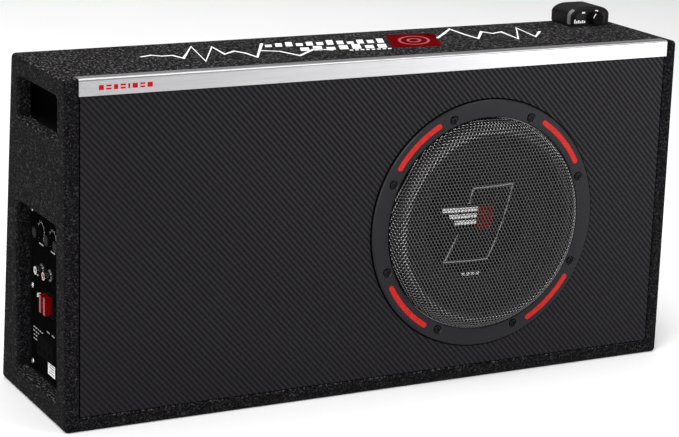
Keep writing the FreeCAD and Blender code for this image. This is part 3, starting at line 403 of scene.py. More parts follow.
CARPET_LOOK = carpet_look()
WHITE_INK = printed_look("white_ink", (0.78, 0.78, 0.78))
RED_INK = printed_look("red_ink", (0.36, 0.006, 0.010))
DEEP_RED_INK = printed_look("deep_red_ink", (0.10, 0.0018, 0.0028))
GREY_EMBLEM_INK = printed_look("emblem_grey_ink", (0.34, 0.34, 0.345))
SLOT_LOOKS = {
    "carpet": CARPET_LOOK,
    "mdf": near_black_board_look(),
    "carbon_vinyl": carbon_vinyl_look(),
    "brushed_trim": brushed("brushed_trim", (0.46, 0.455, 0.465), 0.34, (18.0, 3200.0, 3200.0)),
    "ring_plastic": moulded("ring_plastic", (0.0100, 0.0090, 0.0118), 0.36, 0.5, 1700.0, 0.12,
                            Specular_IOR_Level=0.14),
    "accent_red": accent_look(),
    "black_screw": powder_coat("black_oxide", (0.0020, 0.0020, 0.0022), 0.16, Specular_IOR_Level=0.14),
    "grille_steel": powder_coat("grille_gloss_coat", (0.0034, 0.0032, 0.0036), 0.22, IOR=1.8,
                                Specular_IOR_Level=0.80),
    "gasket_foam": foam_look(),
    "basket_steel": powder_coat("basket_coat", (0.014, 0.014, 0.015), 0.45),
    "surround_rubber": moulded("butyl_rubber", (0.006, 0.006, 0.0065), 0.55, 0.6, Specular_IOR_Level=0.15),
    "cone_paper": pulp_look("cone_pulp", (0.003, 0.003, 0.0034), (0.009, 0.009, 0.010)),
    "dust_cap_print": moulded("dust_cap_coat", (0.0022, 0.0022, 0.0025), 0.45, 0.4, Specular_IOR_Level=0.03),
    "spider_cloth": pulp_look("spider_cloth", (0.16, 0.09, 0.03), (0.42, 0.27, 0.10)),
    "coil_copper": winding_look(),
    "plated_steel": brushed("zinc_plate", (0.60, 0.60, 0.62), 0.32, (900.0, 900.0, 900.0)),
    "ferrite": moulded("sintered_ferrite", (0.024, 0.024, 0.026), 0.5, 1.0, 500.0),
    "terminal_tin": brushed("tinned_brass", (0.66, 0.60, 0.45), 0.35, (600.0, 600.0, 600.0)),
    "amp_plate_paint": powder_coat("amp_plate_paint", (0.0026, 0.0025, 0.0028), 0.50, Specular_IOR_Level=0.0),
    "heatsink_alloy": brushed("black_anodised", (0.10, 0.10, 0.105), 0.42, (12.0, 1800.0, 1800.0)),
    "cover_steel": powder_coat("cover_paint", (0.014, 0.014, 0.014), 0.45),
    "circuit_board": board_look(),
    "board_parts": components_look(),
    "control_body": moulded("control_body", (0.05, 0.09, 0.13), 0.4),
    "knob_plastic": moulded("knob_black", (0.0042, 0.0040, 0.0044), 0.40, 0.7, 1100.0,
                            Specular_IOR_Level=0.02),
    "nickel": brushed("nickel_plate", (0.78, 0.75, 0.70), 0.2, (1800.0, 500.0, 500.0), contrast=0.08),
    "rca_colours": rca_look(),
    "socket_nylon": moulded("nylon_black", (0.0044, 0.0042, 0.0046), 0.46, 0.5,
                            Specular_IOR_Level=0.0),
    "led_lens": clear_tint("led_lens", (0.12, 0.28, 0.85), 0.12, 0.7),
    "socket_white": moulded("natural_nylon", (0.55, 0.54, 0.50), 0.4),
    "fuse_red": clear_tint("fuse_body", (0.20, 0.0012, 0.0024), 0.25, 0.10),
    "lead_red": leads_look(),
    "remote_shell": moulded("remote_shell", (0.0072, 0.0064, 0.0068), 0.42, 0.8, 1500.0,
                            Specular_IOR_Level=0.05),
    "remote_face": moulded("remote_face", (0.0060, 0.0056, 0.0060), 0.35, 0.3, 1500.0,
                           Specular_IOR_Level=0.10),
}


# ---- mesh building blocks ------------------------------------------------------------------------
def placed(name, mesh):
    """An object in the scene: a cutter, the floor or a piece in the making."""
    made = bpy.data.objects.new(name, mesh)
    bpy.context.scene.collection.objects.link(made)
    return made


def painted(mesh, material):
    """One material on every face."""
    mesh.materials.clear()
    mesh.materials.append(material)


def shown(name, mesh, material, body="enclosure"):
    """Puts a finished mesh in the scene on a body."""
    piece = placed(name, mesh)
    painted(mesh, material)
    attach(piece, body)
    return piece


def from_faces(name, points, faces):
    mesh = bpy.data.meshes.new(name)
    mesh.from_pydata(points, [], faces)
    mesh.validate()
    return mesh


def facing_out(mesh):
    """Turns all faces of a closed mesh outwards."""
    shape = bmesh.new()
    shape.from_mesh(mesh)
    bmesh.ops.recalc_face_normals(shape, faces=shape.faces)
    shape.to_mesh(mesh)
    shape.free()
    return mesh


def baked_mesh(obj):
    """The mesh of an object with its modifiers applied."""
    bpy.context.view_layer.update()
    view = bpy.context.evaluated_depsgraph_get()
    return bpy.data.meshes.new_from_object(obj.evaluated_get(view))


def carved(solid, cutters):
    """Cuts each cutter out of a solid and takes the cutters away again."""
    for cutter in cutters:
        cut = solid.modifiers.new("cut", "BOOLEAN")
        cut.operation = "DIFFERENCE"
        cut.solver = "EXACT"
        cut.object = cutter
    mesh = baked_mesh(solid)
    for used in [solid, *cutters]:
        bpy.data.objects.remove(used)
    return mesh


def smooth(mesh, angle):
    """Smooth faces, with a sharp edge where two meet at more than an angle in degrees."""
    mesh.polygons.foreach_set("use_smooth", [True] * len(mesh.polygons))
    mesh.set_sharp_from_angle(angle=math.radians(angle))


def smoothed(piece):
    """A smooth piece whose large faces stay flat, by weighted normals."""
    smooth(piece.data, 35.0)
    weighted = piece.modifiers.new("weighted", "WEIGHTED_NORMAL")
    weighted.keep_sharp = True


def wedge(name, inset, x0, x1):
    """The enclosure's outline pushed from x0 to x1."""
    lean = (BACK_LOW - FRONT - DEPTH_TOP) / TOP
    scale = math.sqrt(1 + lean * lean)
    outline = [(FRONT + inset, inset), (BACK_LOW - lean * inset - inset * scale, inset),
               (BACK_LOW - lean * (TOP - inset) - inset * scale, TOP - inset), (FRONT + inset, TOP - inset)]
    points = [(x, y, z) for x in (x0, x1) for y, z in outline]
    faces = [(0, 1, 2, 3), (7, 6, 5, 4), (0, 4, 5, 1), (1, 5, 6, 2), (2, 6, 7, 3), (3, 7, 4, 0)]
    return facing_out(from_faces(name, points, faces))


def rounded_rectangle(a0, a1, b0, b1, corner, steps=5):
    """Points of a rectangle with round corners, anticlockwise."""
    centres = [(a1 - corner, b1 - corner, 0), (a0 + corner, b1 - corner, 90),
               (a0 + corner, b0 + corner, 180), (a1 - corner, b0 + corner, 270)]
    points = []
    for ca, cb, start in centres:
        for i in range(steps + 1):
            angle = math.radians(start + 90 * i / steps)
            points.append((ca + corner * math.cos(angle), cb + corner * math.sin(angle)))
    return points


def lofted(name, loops):
    """A closed solid through loops that all have the same number of points."""
    count = len(loops[0])
    points = [p for loop in loops for p in loop]
    faces = [tuple(range(count)), tuple(reversed(range(len(points) - count, len(points))))]
    for k in range(len(loops) - 1):
        for i in range(count):
            j = (i + 1) % count
            faces.append((k * count + i, (k + 1) * count + i, (k + 1) * count + j, k * count + j))
    return facing_out(from_faces(name, points, faces))


def turned(name, outline, steps):
    """A closed outline of (radius, y) turned about the driver's axis."""
    count = len(outline)
    points, faces = [], []
    for k in range(steps):
        angle = 2 * math.pi * k / steps
        points += [(DRIVER_X + r * math.sin(angle), y, DRIVER_Z + r * math.cos(angle)) for r, y in outline]
        after = (k + 1) % steps
        for i in range(count):
            j = (i + 1) % count
            faces.append((k * count + i, k * count + j, after * count + j, after * count + i))
    return from_faces(name, points, faces)


def flared_pocket(name, limits, corner, flare, depth, place, steps=5):
    """A cutter with a mouth that rolls outwards, so that the rim it leaves is round."""
    a0, a1, b0, b1 = limits
    sections = [(-1.0 * MM, flare)]
    for i in range(steps + 1):
        angle = math.radians(90 * i / steps)
        sections.append((flare * (1 - math.cos(angle)), flare * (1 - math.sin(angle))))
    sections.append((depth, 0.0))
    loops = []
    for inward, grown in sections:
        outline = rounded_rectangle(a0 - grown, a1 + grown, b0 - grown, b1 + grown, corner + grown)
        loops.append([place(a, b, inward) for a, b in outline])
    return placed(name, lofted(name, loops))


# ---- carpet --------------------------------------------------------------------------------------
EDGE_ROUND = 4.5 * MM
RIM_ROUND = 4.0 * MM           # round a side opening
SLEEVE_CORNER = 7.0 * MM
PANEL_GAP = 1.0 * MM           # between the front vinyl and the carpet that frames it


def rounded_wedge():
    """The carpeted enclosure's outside with soft edges."""
    body = placed("carpet_wrap", wedge("carpet_wrap", 0.0, LEFT, RIGHT))
    shape = bmesh.new()
    shape.from_mesh(body.data)
    bmesh.ops.bevel(shape, geom=shape.edges[:], offset=EDGE_ROUND, segments=5, profile=0.5, affect="EDGES")
    shape.to_mesh(body.data)
    shape.free()
    return body


def inner_hollow():
    """What the boards fill, with the carpet sleeves of both side openings left standing."""
    hollow = placed("hollow", wedge("hollow", CARPET, LEFT + CARPET, RIGHT - CARPET))
    sleeves = []
    for y0, y1, z0, z1 in (PORT_OPENING, AMP_OPENING):
        outline = rounded_rectangle(y0 - CARPET, y1 + CARPET, z0 - CARPET, z1 + CARPET, SLEEVE_CORNER)
        loops = [[(x, y, z) for y, z in outline] for x in (LEFT, LEFT + EDGE)]
        sleeves.append(placed("sleeve", lofted("sleeve", loops)))
    return placed("hollow", carved(hollow, sleeves))


def carpet_wrap():
    """One felt skin round the boards, turned in at the front and at both side openings."""
    pockets = [inner_hollow()]
    for limits in (PORT_OPENING, AMP_OPENING):
        pockets.append(flared_pocket("mouth", limits, SLEEVE_CORNER - CARPET, RIM_ROUND, EDGE + 2.0 * MM,
                                     lambda y, z, inward: (LEFT + inward, y, z)))
    panel_low, panel_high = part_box("baffle_vinyl")
    front = (panel_low[0] - PANEL_GAP, panel_high[0] + PANEL_GAP,
             panel_low[2] - PANEL_GAP, panel_high[2] + PANEL_GAP)
    pockets.append(flared_pocket("front", front, 1.5 * MM, 2.5 * MM, CARPET + 3.0 * MM,
                                 lambda x, z, inward: (x, FRONT + inward, z)))
    wrap = shown("carpet_wrap", carved(rounded_wedge(), pockets), CARPET_LOOK)
    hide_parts("carpet_left", "carpet_right", "carpet_top", "carpet_bottom", "carpet_back")
    smoothed(wrap)


# ---- grille --------------------------------------------------------------------------------------
HOLE_PITCH = 4.0 * MM
HOLE_R = 1.68 * MM
HOLE_SIDES = 12
HOLE_SINK = 0.33 * MM          # how far the edge of a hole is pressed in, which rounds the web
WELDS_PER_METRE = 2e5          # corners of neighbouring hexagons this close together are one
SHEET = 0.8 * MM
WALL_R = 116.2 * MM
ROLL = 17.0 * MM
CROWN_RISE = 1.2 * MM
GRILLE_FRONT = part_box("grille")[LOW][1]
GRILLE_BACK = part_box("grille")[HIGH][1]
RIM_R = radius("grille")
BEND = GRILLE_FRONT + CROWN_RISE + ROLL


def dome_point(s, sink=0.0):
    """Radius and y at a distance s along the dome's outside from its middle, and sink below that."""
    flat = WALL_R - ROLL
    if s < flat:
        share = s / flat
        return s, GRILLE_FRONT + CROWN_RISE * share * share + sink
    bent = (s - flat) / ROLL
    if bent < math.pi / 2:
        return flat + (ROLL - sink) * math.sin(bent), BEND - (ROLL - sink) * math.cos(bent)
    return WALL_R - sink, BEND + (bent - math.pi / 2) * ROLL


def hole_centres(reach):
    """The flat hexagonal grid of holes that stay within a distance from the middle."""
    row_step = HOLE_PITCH * math.sqrt(3) / 2
    rows = int(reach / row_step) + 1
    for j in range(-rows, rows + 1):
        for i in range(-rows - 1, rows + 2):
            u, v = (i + 0.5 * (j % 2)) * HOLE_PITCH, j * row_step
            if math.hypot(u, v) <= reach - HOLE_PITCH / 2:
                yield u, v


def perforated_dome():
    """Each hole is a ring of twelve sides in its own hexagon of sheet; hexagons share their corners."""
    reach = WALL_R - ROLL + ROLL * math.pi / 2 + (GRILLE_BACK - SHEET - BEND) - 0.8 * MM
    points, faces, known = [], [], {}

    def vertex(u, v, sink=0.0):
        key = (round(u * WELDS_PER_METRE), round(v * WELDS_PER_METRE))
        if key not in known:
            s = math.hypot(u, v)
            r, y = dome_point(s, sink)
            share = r / s if s else 0.0
            known[key] = len(points)
            points.append((DRIVER_X + u * share, y, DRIVER_Z + v * share))
        return known[key]

    for cu, cv in hole_centres(reach):
        outer, inner = [], []
        for k in range(HOLE_SIDES):
            angle = math.radians(360 / HOLE_SIDES * k)
            far = HOLE_PITCH / 2 / (math.cos(math.radians(30)) if k % 2 else 1.0)
            outer.append(vertex(cu + far * math.cos(angle), cv + far * math.sin(angle)))
            inner.append(vertex(cu + HOLE_R * math.cos(angle), cv + HOLE_R * math.sin(angle), HOLE_SINK))
        for k in range(HOLE_SIDES):
            n = (k + 1) % HOLE_SIDES
            faces.append((outer[k], outer[n], inner[n], inner[k]))
    return from_faces("grille_mesh", points, faces)


def grille_rim():
    """The plain rim that the ring clamps, with the foot of the dome's wall."""
    wall_out, wall_in, wall_end = WALL_R - 0.2 * MM, WALL_R - SHEET, BEND + 1.0 * MM
    outline = [(RIM_R, GRILLE_BACK), (RIM_R, GRILLE_BACK - SHEET), (wall_out, GRILLE_BACK - SHEET),
               (wall_out, wall_end), (wall_in, wall_end), (wall_in, GRILLE_BACK)]
    return turned("rim", outline, 96)


def grille():
    """The perforated dome with real thickness, joined to its rim."""
    piece = shown("grille_mesh", perforated_dome(), SLOT_LOOKS["grille_steel"])
    thick = piece.modifiers.new("sheet", "SOLIDIFY")
    thick.thickness = SHEET
    thick.offset = -1.0
    shape = bmesh.new()
    shape.from_mesh(baked_mesh(piece))
    shape.from_mesh(grille_rim())
    piece.modifiers.clear()
    shape.to_mesh(piece.data)
    shape.free()
    smooth(piece.data, 40.0)
    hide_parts("grille")


# ---- rings cut into slices -----------------------------------------------------------------------
SECTORS = 16


def about_axis(turn):
    """Outward and sideways directions at a share of a full turn about the driver's axis."""
    angle = 2 * math.pi * turn
    return Vector((math.sin(angle), 0.0, math.cos(angle))), Vector((math.cos(angle), 0.0, -math.sin(angle)))


def sector(name, source, first, last):
    """The closed slice of a ring-shaped mesh between two shares of a turn."""
    shape = bmesh.new()
    shape.from_mesh(source)
    bmesh.ops.remove_doubles(shape, verts=shape.verts[:], dist=0.001 * MM)
    for turn, side in ((first, -1.0), (last, 1.0)):
        bmesh.ops.bisect_plane(shape, geom=[*shape.verts, *shape.edges, *shape.faces], clear_outer=True,
                               plane_co=(DRIVER_X, 0.0, DRIVER_Z), plane_no=about_axis(turn)[1] * side)
        bmesh.ops.holes_fill(shape, edges=shape.edges[:], sides=0)
    bmesh.ops.recalc_face_normals(shape, faces=shape.faces)
    mesh = bpy.data.meshes.new(name)
    shape.to_mesh(mesh)
    shape.free()
    return mesh


def flexing(node, slot):
    """Slices a ring into closed sectors about the driver's axis, each a piece of its own."""
    whole = frame["nodes"][node]
    bpy.context.view_layer.update()
    mesh = whole.data.copy()
    mesh.transform(whole.matrix_world)
    for k in range(SECTORS):
        name = f"{node}_{k + 1:02d}"
        piece = placed(name, sector(name, mesh, k / SECTORS, (k + 1) / SECTORS))
        painted(piece.data, SLOT_LOOKS[slot])
        smooth(piece.data, 40.0)
        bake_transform(piece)
        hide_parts(node)
    bpy.data.meshes.remove(mesh)


# ---- prints --------------------------------------------------------------------------------------
def ink_tile(corners, place, step):
    """Points and faces of one thin closed tile over four flat corners."""
    a, b, c, d = (Vector(p) for p in corners)
    columns = max(1, math.ceil(max((b - a).length, (c - d).length) / step))
    rows = max(1, math.ceil(max((d - a).length, (c - b).length) / step))
    points, faces = [], []
    for lift in (0.0, INK_THICK):
        for j in range(rows + 1):
            for i in range(columns + 1):
                flat = a.lerp(b, i / columns).lerp(d.lerp(c, i / columns), j / rows)
                points.append(place(flat.x, flat.y, lift))
    wide = columns + 1
    layer = wide * (rows + 1)
    for j in range(rows):
        for i in range(columns):
            k = j * wide + i
            faces.append((k, k + wide, k + wide + 1, k + 1))
            faces.append((k + layer, k + layer + 1, k + layer + wide + 1, k + layer + wide))
    border = [j * wide for j in range(rows, 0, -1)] + list(range(columns))
    border += [columns + j * wide for j in range(rows)] + [rows * wide + i for i in range(columns, 0, -1)]
    faces += [(k, n, n + layer, k + layer) for k, n in zip(border, border[1:] + border[:1])]
    return points, faces


def printed(name, patches, place, material, body="enclosure", step=6.0 * MM):
    """Four-cornered patches of ink, each a thin closed tile that follows the surface that place() gives.

    place(a, b, lift) turns flat coordinates and a height above the surface into a point.
    """
    points, faces = [], []
    for corners in patches:
        tile_points, tile_faces = ink_tile(corners, place, step)
        faces += [tuple(len(points) + k for k in face) for face in tile_faces]
        points += tile_points
    return shown(name, facing_out(from_faces(name, points, faces)), material, body)


def stroke(line, width):
    """Patches for a pen stroke along a line of flat points, with mitred corners."""
    line = [Vector(p) for p in line]
    sides = []
    for i, point in enumerate(line):
        before = (point - line[i - 1]).normalized() if i else (line[1] - point).normalized()
        after = (line[i + 1] - point).normalized() if i < len(line) - 1 else before
        mitre = Vector((-(before.y + after.y), before.x + after.x)).normalized()
        reach = width / 2 / max(0.45, mitre.dot(Vector((-before.y, before.x))))
        sides.append((point + mitre * reach, point - mitre * reach))
    return [(sides[i][1], sides[i + 1][1], sides[i + 1][0], sides[i][0]) for i in range(len(sides) - 1)]


def tile(a0, b0, a1, b1):
    return ((a0, b0), (a1, b0), (a1, b1), (a0, b1))


def mm(*points):
    """Flat points that are given in millimetres."""
    return [(a * MM, b * MM) for a, b in points]


def on_top(x, y, lift):
    return (x, y, TOP + INK_GAP + lift)


def on_trim(x, z, lift):
    return (x, TRIM_Y - INK_GAP - lift, z)


def on_plate(y, z, lift):
    return (PLATE_X - INK_GAP - lift, y, z)


# ---- the prints on top, trim, cap, plate and remote ----------------------------------------------
def pulse(ends, heights):
    """A jagged level trace between two ends, with its corners this far beside the straight line."""
    start, end = (Vector(p) for p in ends)
    across = Vector((0.35, 0.94))
    count = len(heights) - 1
    return [start.lerp(end, i / count) + across * h * MM for i, h in enumerate(heights)]


def slanted(origin, a, b):
    """A point of the top's slanted print grid, a to the right and b towards the back, in millimetres."""
    right, back = Vector((0.995, -0.105)), Vector((0.38, 0.925))
    return Vector(origin) + (right * a + back * b) * MM


def bar(origin, a, b, wide, high):
    return tuple(slanted(origin, a + i * wide, b + j * high) for i, j in ((0, 0), (1, 0), (1, 1), (0, 1)))


LEVEL_CORNER = (27 * MM, -44 * MM)
TILE_CORNER = (32 * MM, -40 * MM)


def level_bars():
    """Two rows of level bars and a row of small squares."""
    bars = [bar(LEVEL_CORNER, -138 + 11.6 * k, 38, 7.6, high)
            for k, high in enumerate((13, 19, 24, 15, 21, 17, 26, 20, 14, 22, 18, 24))]
    bars += [bar(LEVEL_CORNER, -100 + 14.6 * k, 9, 9.8, high)
             for k, high in enumerate((18, 24, 15, 22, 26, 17, 21))]
    bars += [bar(LEVEL_CORNER, -46 + 6.2 * k, 0, 4.0, 4.5) for k in range(8)]
    return bars


def ring_mark():
    """One ring inside another in the middle of the red tile."""
    rings = []
    for share in (1.0, 0.42):
        loop = [slanted(TILE_CORNER, 29 + 17 * share * math.cos(t), 39 + 24 * share * math.sin(t))
                for t in (math.radians(12 * k) for k in range(31))]
        rings += stroke(loop, 3.0 * MM)
    return rings


def top_prints():
    """Level traces, a bank of level bars and a red tile with a ring on it, all of a general kind."""
    traces = [pulse(mm((-241, -5), (-112, -32)), (0, 8, 2, 5, -12, 52, -30, 48, 6, 22, 10, -14, 62)),
              pulse(mm((-112, -20), (-36, -36)), (10, 4, -22, 14, 4)),
              pulse(mm((106, 24), (236, -10)), (0, -24, 2, 30, -4, -30, 12, 0, 10, -34, 34, -22, 10))]
    patches = [p for line in traces for p in stroke(line, 3.4 * MM)]
    white = printed("top_print_white", patches + level_bars(), on_top, WHITE_INK)
    red = printed("top_print_red", [bar(TILE_CORNER, 0, 0, 57, 78)], on_top, DEEP_RED_INK)
    mark = printed("top_print_ring", ring_mark(), lambda x, y, lift: (x, y, TOP + SECOND_COAT + lift),
                   printed_look("pale_red_ink", (0.30, 0.075, 0.085)))


def trim_print():
    """A short row of plain red bars near the trim's left end."""
    low, high = 349.2 * MM, 354.0 * MM
    patches = []
    x = -322.5 * MM
    for wide, split in ((5.0, 0), (5.4, 1), (4.2, 0), (5.4, 1), (2.0, 0), (5.4, 0), (5.0, 1), (5.4, 0)):
        slices = ((low, high),) if not split else ((low, low + 1.7 * MM), (high - 1.7 * MM, high))
        patches += [tile(x, b0, x + wide * MM, b1) for b0, b1 in slices]
        x += (wide + 2.6) * MM
    printed("trim_print", patches, on_trim, RED_INK)


CAP_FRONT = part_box("dust_cap")[LOW][1]
CAP_R = radius("dust_cap")
CAP_RISE = 9.0 * MM


def on_cap(x, z, lift):
    """A point in front of the dust cap, in coordinates from the driver's middle."""
    ball = (CAP_R ** 2 + CAP_RISE ** 2) / (2 * CAP_RISE)
    sag = ball - math.sqrt(ball ** 2 - min(x * x + z * z, CAP_R ** 2))
    return (DRIVER_X + x, CAP_FRONT + sag - 0.15 * MM - lift, DRIVER_Z + z)


def emblem():
    """A plain emblem on the dust cap: pale stripes, a red block and a slanted frame."""
    pale = []
    for k, (left, right) in enumerate(((-44, -3), (-36, -4), (-30, -5))):
        top = 17 - 7 * k
        pale.append(mm((left, top - 4.5), (right, top - 4.5), (right, top), (left - 1, top)))
    pale += [tile((-15 + 6 * k) * MM, -62 * MM, (-11 + 6 * k) * MM, -58.5 * MM) for k in range(4)]
    outline = mm((-14, 21), (-8, 37), (44, 37), (14, -44), (-38, -44), (-26, -12))
    block = mm((-5, -9), (15, -9), (18, 17), (-2, 17))
    white = printed("emblem_white", pale, on_cap, WHITE_INK, "cone_assembly", 4.0 * MM)
    grey = printed("emblem_outline", stroke(outline, 1.3 * MM), on_cap, GREY_EMBLEM_INK,
                   "cone_assembly", 4.0 * MM)
    red = printed("emblem_red", [block], on_cap, DEEP_RED_INK, "cone_assembly", 4.0 * MM)


def around(centre, reach, degrees):
    """The flat point at an angle on a circle."""
    angle = math.radians(degrees)
    return (centre[0] + reach * math.cos(angle), centre[1] + reach * math.sin(angle))


def arc(centre, reach, start, end, steps=14):
    """Flat points on an arc between two angles in degrees."""
    return [around(centre, reach, start + (end - start) * i / steps) for i in range(steps + 1)]


THIN = 0.45 * MM               # pen width on the amplifier's plate
TICKS = 11
DIAL_START, DIAL_END = -50, 230


def dial_marks(node):
    """An arc, a ring of ticks and a short bar round one control."""
    at = middle(node)
    centre = (at.y, at.z)
    marks = stroke(arc(centre, 9.2 * MM, DIAL_START, DIAL_END), THIN)
    for k in range(TICKS):
        angle = DIAL_START + (DIAL_END - DIAL_START) // (TICKS - 1) * k
        marks += stroke([around(centre, reach, angle) for reach in (9.8 * MM, 11.4 * MM)], THIN)
    marks.append(tile(at.y - 6 * MM, at.z - 14.5 * MM, at.y + 6 * MM, at.z - 13.0 * MM))
    return marks


def bar_under(node, below):
    """A short bar this many millimetres below the middle of a fitting."""
    at = middle(node)
    return tile(at.y - 5 * MM, at.z - (below + 1.4) * MM, at.y + 5 * MM, at.z - below * MM)


def plate_prints():
    """Dial scales, bars under the fittings and a small table of plain marks on the amplifier's plate."""
    patches = dial_marks("gain_knob") + dial_marks("crossover_knob") + dial_marks("boost_knob")
    patches += [bar_under("remote_port", 11.0), bar_under("power_led", 6.0),
                bar_under("speaker_input_socket", 8.5)]
    for k in range(5):
        for j in range(4):
            y, z = (9 + 6.4 * k) * MM, (59 + 4.2 * j) * MM
            patches.append(tile(y, z, y + (4.6 - 0.6 * ((k + j) % 3)) * MM, z + 1.3 * MM))
    patches += [tile((y - 4) * MM, 77.2 * MM, (y + 4) * MM, 78.8 * MM) for y in (-36, -21, -6)]
    ink = printed_look("plate_ink", (0.30, 0.30, 0.31))
    printed("plate_print", patches, on_plate, ink)


def plate_label():
    """A pale label with four grey lines."""
    label = printed("plate_label", [tile(-26 * MM, 33.5 * MM, -5 * MM, 46.5 * MM)], on_plate, WHITE_INK)
    lines = [tile(-23 * MM, (36 + 2.8 * k) * MM, (-9 - 3 * (k % 2)) * MM, (36.8 + 2.8 * k) * MM)
             for k in range(4)]
    marks = printed("label_lines", lines, lambda y, z, lift: (PLATE_X - SECOND_COAT - lift, y, z),
                    printed_look("grey_ink", (0.20, 0.20, 0.20)))


REMOTE_LOW, REMOTE_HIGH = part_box("remote_housing")
REMOTE_SHOULDER = (18.0 * MM, 9.5 * MM)
REMOTE_EDGE = 6.0 * MM


def shell_side(s):
    """A point and outward direction on the left of the remote's front outline, s from 0 at the foot to 2."""
    across, down = REMOTE_SHOULDER
    spring = REMOTE_HIGH[2] - down
    if s <= 1.0:
        height = REMOTE_LOW[2] + s * (spring - REMOTE_LOW[2])
        return Vector((REMOTE_LOW[0], 0.0, height)), Vector((-1.0, 0.0, 0.0))
    turn = (s - 1.0) * math.pi / 2
    point = Vector((REMOTE_LOW[0] + across * (1 - math.cos(turn)), 0.0, spring + down * math.sin(turn)))
    return point, Vector((-down * math.cos(turn), 0.0, across * math.sin(turn))).normalized()


def highlight_row(point, outward):
    """Points across the painted highlight strip, from the housing's side round its edge towards the front."""
    lift = 0.08 * MM
    edge_y = REMOTE_LOW[1] + REMOTE_EDGE
    row = [point + outward * lift + Vector((0.0, edge_y + reach * MM, 0.0)) for reach in (2.0, 1.0)]
    centre = point - outward * REMOTE_EDGE + Vector((0.0, edge_y, 0.0))
    for k in range(6):
        lean = math.radians(6.4 * k)
        facing = outward * math.cos(lean) + Vector((0.0, -1.0, 0.0)) * math.sin(lean)
        row.append(centre + facing * (REMOTE_EDGE + lift))
    return row


def remote_edge_highlight():
    """A pale grey strip of painted highlight that wraps the housing's left front edge and its shoulder."""
    rows = [highlight_row(*shell_side(0.02 + 1.5 * i / 14)) for i in range(15)]
    wide = len(rows[0])
    faces = [(r * wide + c, (r + 1) * wide + c, (r + 1) * wide + c + 1, r * wide + c + 1)
             for r in range(len(rows) - 1) for c in range(wide - 1)]
    mesh = from_faces("remote_edge_highlight", [p for row in rows for p in row], faces)
    # painted highlight: the pale grey stands for the reflection on the rounded left front edge
    highlight_strip = shown("remote_edge_highlight", mesh, moulded("painted_edge_highlight", (0.115, 0.115, 0.12), 0.35, 0.4), "remote")
    smoothed(highlight_strip)


def remote_prints():
    """Two dial marks, a row of small bars on the fascia and a pale arc on the knob's upper left, a painted
    highlight.
    """
    knob = middle("remote_knob")
    knob_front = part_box("remote_knob")[LOW][1]

    def on_fascia(x, z, lift):
        return (x, REMOTE_LOW[1] - INK_GAP - lift, z)

    def on_knob(x, z, lift):
        return (x, knob_front - INK_GAP - lift, z)

    mark_z = knob.z + 6.4 * MM
    patches = [tile(knob.x - 17.6 * MM, mark_z - 0.9 * MM, knob.x - 13.6 * MM, mark_z + 0.9 * MM),
               tile(knob.x - 0.2 * MM, mark_z + 0.4 * MM, knob.x + 3.8 * MM, mark_z + 2.2 * MM)]
    left = REMOTE_LOW[0] + 4.2 * MM
    for k, tall in enumerate((4.4, 2.8, 3.6, 2.4, 3.2, 2.6)):
        x = left + 2.6 * k * MM
        patches.append(tile(x, REMOTE_LOW[2] + 1.4 * MM, x + 1.8 * MM, REMOTE_LOW[2] + (1.4 + tall) * MM))
    printed("remote_print", patches, on_fascia, WHITE_INK, "remote")
    # painted highlight: this white arc stands for the glint on the knob's upper-left rim
    knob_highlight = stroke(arc((knob.x, knob.z), 6.0 * MM, 118, 172), 0.9 * MM)
    printed("remote_knob_highlight", knob_highlight, on_knob, WHITE_INK, "remote_knob_body")


SHADE_LAP = 3.0 * MM            # under the ring
SHADE_PROUD = 1.4 * MM          # beyond the ring


def ring_shadow_line():
    """A near-black band on the vinyl, a little wider than the ring: painted shade for the dark line round it.
    """
    outer = radius("trim_ring")
    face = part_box("baffle_vinyl")[LOW][1]
    front, back = face - 0.3 * MM, face + 0.1 * MM
    outline = [(outer - SHADE_LAP, back), (outer - SHADE_LAP, front),
               (outer + SHADE_PROUD, front), (outer + SHADE_PROUD, back)]
    # painted shade: this near-black band stands for the shadow in the groove round the trim ring
    shade_paint = moulded("painted_ring_shadow", (0.0007, 0.0007, 0.0008), 0.9, 1.0, Specular_IOR_Level=0.0)
    shade_ring = shown("ring_shadow_line", turned("ring_shadow_line", outline, 160), shade_paint)
    smoothed(shade_ring)


# ---- light, floor and camera ---------------------------------------------------------------------
FLOOR = [(-9, -6, 0), (12, -6, 0), (12, 16, 0), (-9, 16, 0)]
SOFTBOXES = (
    # name, position, what it points at, size and power
    ("overhead", (-0.7, 1.2, 3.5), (-0.7, 1.2, 0.0), (4.6, 5.0), 150.0),
    ("key_left", (-1.9, -2.0, 2.9), (0.0, 0.0, 0.2), (1.4, 1.4), 68.0),
    ("side_left", (-3.0, -1.7, 1.0), (0.0, 0.0, 0.2), (1.2, 2.0), 48.0),
    ("top_strip", (1.5, -1.1, 3.0), (0.2, 0.0, 0.2), (1.8, 0.7), 24.0),
    ("fill_right", (1.6, -1.5, 0.5), (0.4, 0.0, 0.2), (1.2, 0.8), 22.0),
)
EYE = (-1.08313, -2.06998, 0.78162)
LOOK_ALONG = (0.44683, 0.85757, -0.25478)
EYE_RIGHT = (0.89006, -0.45486, 0.02995)
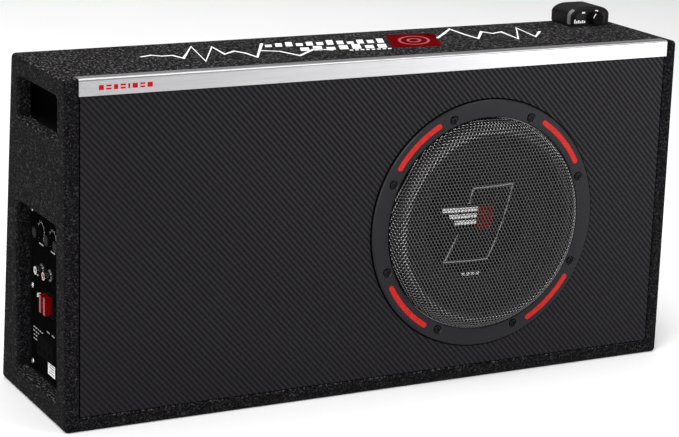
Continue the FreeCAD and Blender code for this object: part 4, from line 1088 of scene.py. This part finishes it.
LENS, SENSOR = 117.46, 36.0    # millimetres


def softbox(name, position, aim, size, power):
    data = bpy.data.lights.new(name, "AREA")
    data.shape = "RECTANGLE"
    data.size, data.size_y = size
    data.energy = power
    lamp = bpy.data.objects.new(name, data)
    lamp.location = position
    lamp.rotation_euler = (Vector(aim) - Vector(position)).to_track_quat("-Z", "Y").to_euler()
    bpy.context.scene.collection.objects.link(lamp)


def studio():
    floor = placed("floor", from_faces("floor", FLOOR, [(0, 1, 2, 3)]))
    look = Look("floor_paper", 0.9, Specular_IOR_Level=0.1)
    look.colour(look.ramp(look.noise(3.0, 2.0), (0.3, (0.86, 0.86, 0.86)), (0.7, (0.88, 0.88, 0.88))))
    floor.data.materials.append(look.material)
    world = bpy.data.worlds.new("studio")
    bpy.context.scene.world = world
    world.use_nodes = True
    backdrop = world.node_tree.nodes["Background"]
    backdrop.inputs["Color"].default_value = (1.0, 1.0, 1.0, 1.0)
    backdrop.inputs["Strength"].default_value = 0.25
    for settings in SOFTBOXES:
        softbox(*settings)


def camera():
    data = bpy.data.cameras.new("camera")
    data.sensor_width = SENSOR
    data.lens = LENS
    eye = bpy.data.objects.new("camera", data)
    forward = Vector(LOOK_ALONG).normalized()
    right = Vector(EYE_RIGHT).normalized()
    up = right.cross(forward)
    right = forward.cross(up)
    turn = Matrix((right, up, -forward)).transposed()
    eye.matrix_world = Matrix.Translation(EYE) @ turn.to_4x4()
    bpy.context.scene.collection.objects.link(eye)
    bpy.context.scene.camera = eye


# ---- build ---------------------------------------------------------------------------------------
def dress_cad_nodes():
    """Gives every node of the design the material of its slot."""
    for part in frame["record"]["subparts"]:
        node = frame["nodes"][part["node"]]
        painted(node.data, SLOT_LOOKS[part["material_slot"]])


dress_cad_nodes()
carpet_wrap()
grille()
flexing("surround", "surround_rubber")
flexing("spider", "spider_cloth")
top_prints()
trim_print()
emblem()
plate_prints()
plate_label()
remote_prints()
remote_edge_highlight()
ring_shadow_line()
studio()
camera()
bpy.context.scene.view_settings.view_transform = "Standard"
